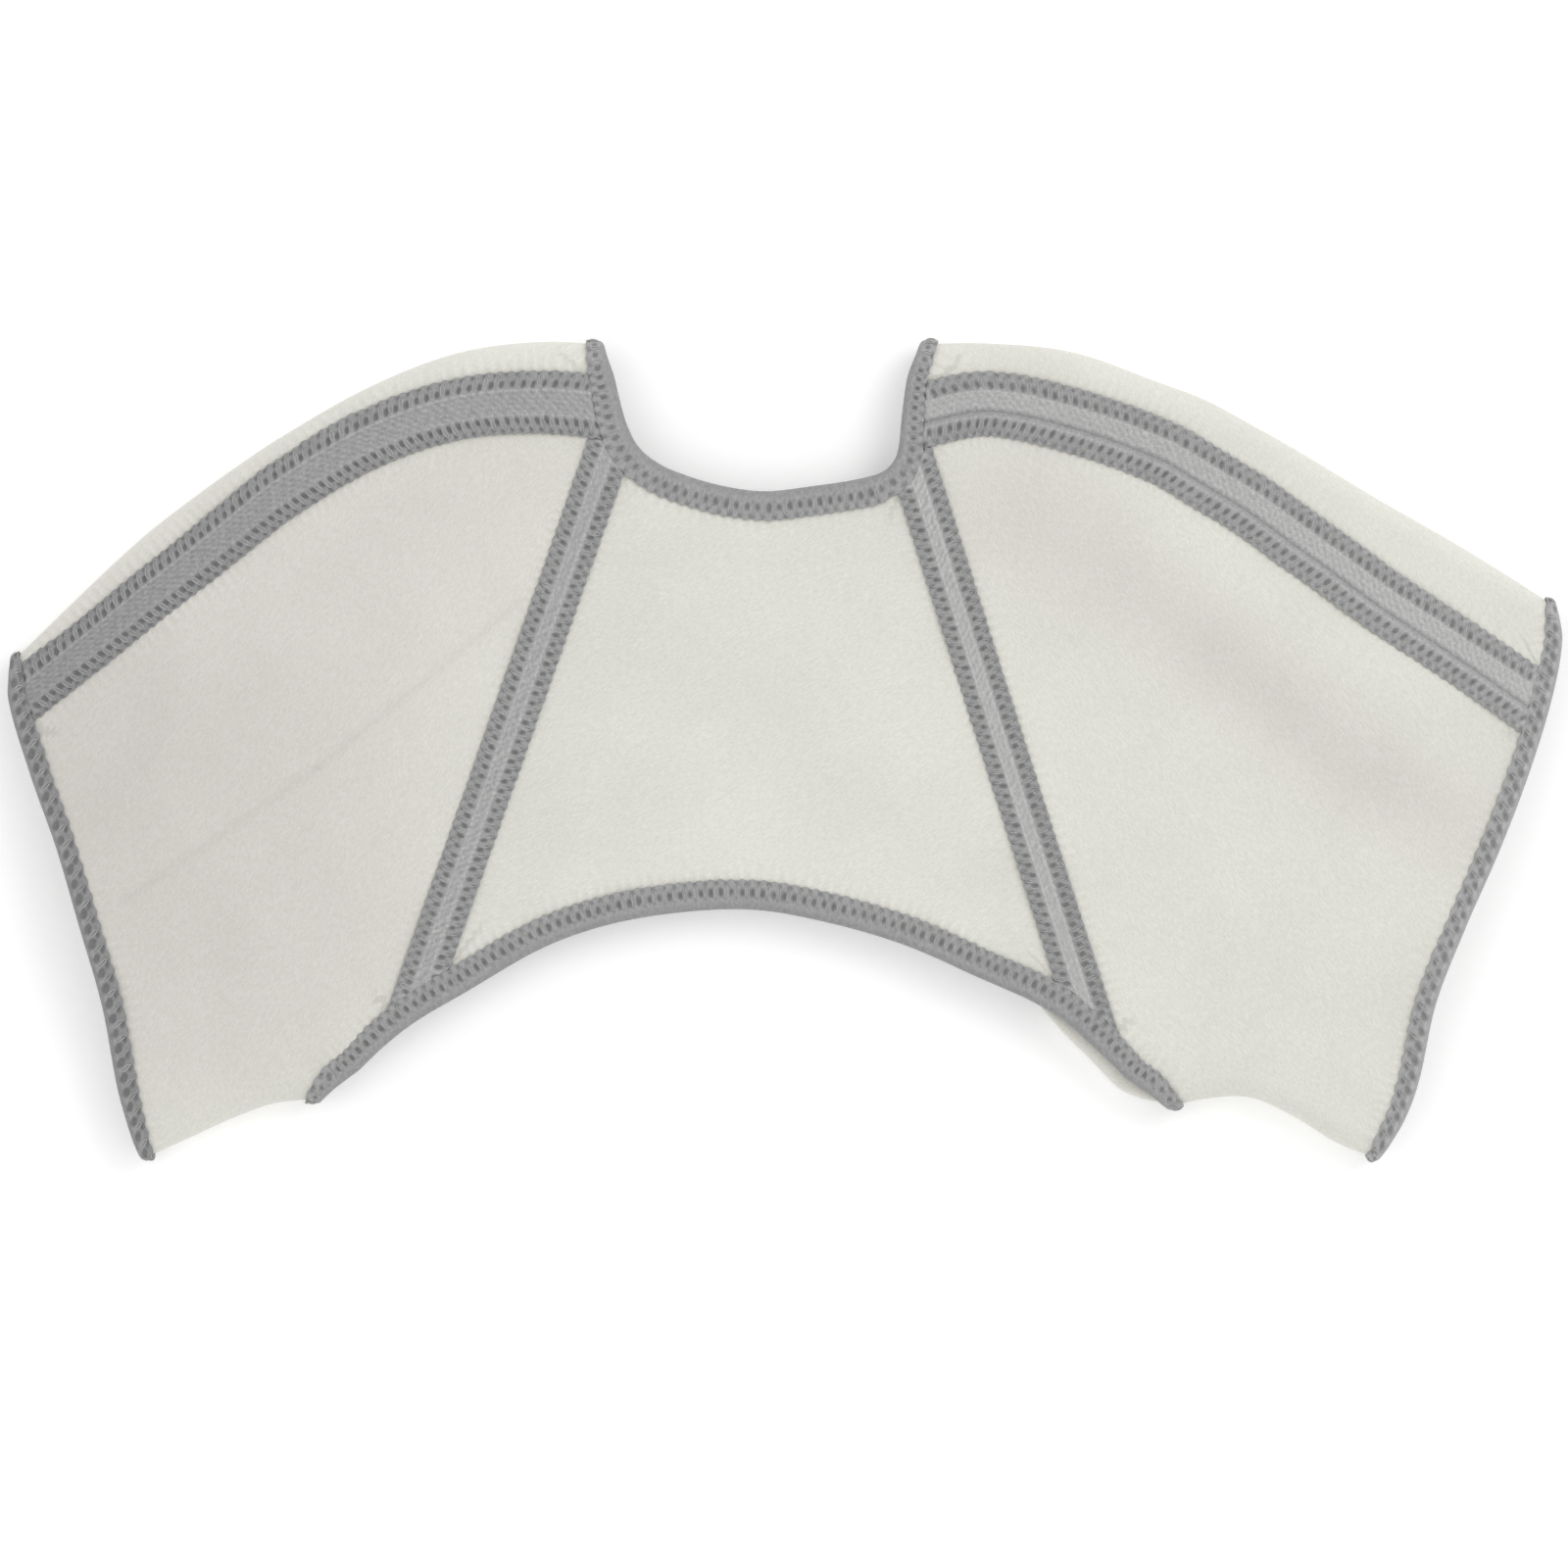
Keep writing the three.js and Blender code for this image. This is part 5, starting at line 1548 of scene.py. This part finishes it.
class OBJECT_OT_brace_tapes(bpy.types.Operator):
    """Seam tapes over the shoulder and raglan seams, with their stitches"""

    bl_idname = "object.brace_tapes"
    bl_label = "Seam tapes"

    def execute(self, context):
        tape_set = context.scene.brace_tape
        wide, narrow = tape_set.shoulder_width / MM, tape_set.raglan_width / MM
        lines = limit_lines()
        shoulder_kind, raglan_kind = STITCHES["shoulder"], STITCHES["raglan"]
        looks = {"left": dict(bright=0.06, fade=0.2), "right": dict(bright=0.2, groove=2.5, fade=-0.1)}
        raglan_bright = {"left": 0.12, "right": 0.28}
        for seed, side in enumerate(SIDES):
            neck = lines["neck"]
            piece, facts = tape(
                f"{side}_shoulder_seam_tape", shoulder_seam(side), wide, [neck, lines[side]], shoulder_kind,
                tape_set, 20 + seed, lower=-SIDES[side], narrowing=NARROWING[side], **looks[side])
            finished(piece, materials()["tape"], "tape", f"shoulder_tape_{side}")
            self.sew(f"{side}_shoulder", facts, shoulder_kind, tape_set)
            grid_x, grid_s, _, _ = facts["lines"]
            first_y, last_y = (surface(grid_x[row, 50], grid_s[row, 50])[1] for row in (0, -1))
            row = 0 if first_y < last_y else -1
            shoulder = (grid_x[row], grid_s[row])
            for on_back in (True, False):
                word = "back" if on_back else "front"
                limits = [lines["hem"], *((neck, shoulder) if on_back else ((neck[0], neck[1] + 2),))]
                piece, facts = tape(
                    f"{word}_{side}_raglan_seam_tape", raglan_seam(side, on_back), narrow, limits,
                    raglan_kind, tape_set, 30 + seed + 5 * on_back, bright=raglan_bright[side])
                finished(piece, materials()["tape"], "tape", f"{word}_raglan_tape_{side}")
                self.sew(f"{word}_{side}_raglan", facts, raglan_kind, tape_set)
        return {"FINISHED"}

    def sew(self, key, facts, kind, tape_set):
        """Cover stitches along both edges of a tape."""
        pitch, half = facts["pitch"], facts["half"]
        grid_x, grid_s, u, v = facts["lines"]
        for word, sign in (("first", -1.0), ("second", 1.0)):
            inner = int(np.argmin(np.abs(v - sign * (half - 4))))
            low, high = u[inner].min() + 1.5, u[inner].max() - 1.5
            shift = ROW_SHIFT * pitch if sign * facts["lower"] > 0 else 0.0
            k = np.arange(math.ceil((low + shift) / pitch), math.floor((high + shift) / pitch))
            at = (k + 0.5) * pitch - shift
            at = at[(at > low) & (at < high)]
            x, s = (np.interp(at, facts["at"], facts[key_of]) for key_of in ("x", "s"))
            sideways, ahead = (vectors_at(at, facts["at"], facts[key_of]) for key_of in ("sideways", "ahead"))
            loops = stitch_loops(
                x, s, sideways * sign, ahead, half, kind, pitch, 1.0, facts["narrow"](at), 6)
            piece = thread_mesh(f"{key}_{word}_stitches", loops, tape_set.thread / MM)
            finished(piece, materials()["thread"], "tape")


# The fold at the hem: x of its ends, how far it stands proud, its height and its thickness.
HEM_FOLD = (100.0, 147.0, 4.9, 6.4, 8.4)


class OBJECT_OT_brace_folds(bpy.types.Operator):
    """A soft fold of the front layer that shows beyond the hem"""

    bl_idname = "object.brace_folds"
    bl_label = "Front fold"

    def execute(self, context):
        piece, length = front_fold("hem_front_fold", (hem_x, hem_s), HEM_MIDDLE, *HEM_FOLD)
        finished(piece, materials()["body"], "fleece")
        return {"FINISHED"}


FLOOR_GLOW = 0.16
FLOOR_SIZE = 8
FLOOR_DROP = 0.0004
WORLD_LIGHT = 0.85
# Lights: name, place, size and share of the power.
LIGHTS = (
    ("Main light", (1.6, 1.3, 2.2), 1.6, 1.0),
    ("Fill light", (-1.8, -0.8, 2.4), 2.4, 0.25),
)
# The camera stands over this place, above the height of the upper layer.
CAMERA_AT = (-0.00076, -0.0129)
UPPER_LAYER = 0.012
SENSOR = 36


class SCENE_OT_brace_stage(bpy.types.Operator):
    """Pale floor, soft light and the camera"""

    bl_idname = "scene.brace_stage"
    bl_label = "Stage"

    def execute(self, context):
        stage_set = context.scene.brace_stage
        deselect()
        bpy.ops.mesh.primitive_plane_add(size=FLOOR_SIZE, location=(0, 0, -FLOOR_DROP))
        floor = context.active_object
        floor.name = "floor"
        material, tree, shader = new_material("Pale floor")
        shader.inputs["Base Color"].default_value = (*stage_set.floor, 1)
        shader.inputs["Roughness"].default_value = 1.0
        shader.inputs["Specular IOR Level"].default_value = 0.0
        shader.inputs["Emission Color"].default_value = (1, 1, 1, 1)
        shader.inputs["Emission Strength"].default_value = FLOOR_GLOW
        floor.data.materials.append(material)
        world = bpy.data.worlds.new("Studio")
        context.scene.world = world
        world.use_nodes = True
        background = world.node_tree.nodes["Background"]
        background.inputs["Color"].default_value = (1, 1, 1, 1)
        background.inputs["Strength"].default_value = WORLD_LIGHT
        for name, at, size, share in LIGHTS:
            bpy.ops.object.light_add(type="AREA", location=at)
            lamp = context.active_object
            lamp.name = name
            lamp.data.size = size
            lamp.data.energy = stage_set.power * share
            lamp.rotation_euler = (-Vector(at)).to_track_quat("-Z", "Y").to_euler()
        bpy.ops.object.camera_add(location=(*CAMERA_AT, stage_set.distance + UPPER_LAYER))
        camera = context.active_object
        camera.name = "camera"
        camera.rotation_euler = (0, 0, 0)
        camera.data.sensor_width = SENSOR
        camera.data.lens = SENSOR * stage_set.distance / stage_set.view_width
        camera.data.clip_end = 50
        context.scene.camera = camera
        context.scene.view_settings.view_transform = "Standard"
        return {"FINISHED"}


class VIEW3D_PT_brace(bpy.types.Panel):
    """The brace's pieces and their settings"""

    bl_label = "Shoulder brace"
    bl_space_type = "VIEW_3D"
    bl_region_type = "UI"
    bl_category = "Brace"

    def draw(self, context):
        for settings in (context.scene.brace_cloth, context.scene.brace_tape, context.scene.brace_stage):
            for key in settings.__annotations__:
                self.layout.prop(settings, key)
        for operator in OPERATORS:
            self.layout.operator(operator.bl_idname)


OPERATORS = (
    SCENE_OT_brace_stage,
    OBJECT_OT_brace_panels,
    OBJECT_OT_brace_sleeves,
    OBJECT_OT_brace_bindings,
    OBJECT_OT_brace_tapes,
    OBJECT_OT_brace_folds,
)
SETTINGS = {"brace_cloth": BraceCloth, "brace_tape": BraceTape, "brace_stage": BraceStage}


def register():
    for group in SETTINGS.values():
        bpy.utils.register_class(group)
    for operator in OPERATORS:
        bpy.utils.register_class(operator)
    bpy.utils.register_class(VIEW3D_PT_brace)
    for key, group in SETTINGS.items():
        setattr(bpy.types.Scene, key, bpy.props.PointerProperty(type=group))


def unregister():
    for key in SETTINGS:
        delattr(bpy.types.Scene, key)
    for made in (VIEW3D_PT_brace, *OPERATORS, *SETTINGS.values()):
        bpy.utils.unregister_class(made)


def main():
    register()
    bpy.ops.scene.brace_stage()
    bpy.ops.object.brace_panels()
    bpy.ops.object.brace_sleeves()
    bpy.ops.object.brace_bindings()
    bpy.ops.object.brace_tapes()
    bpy.ops.object.brace_folds()


if __name__ == "__main__":
    main()
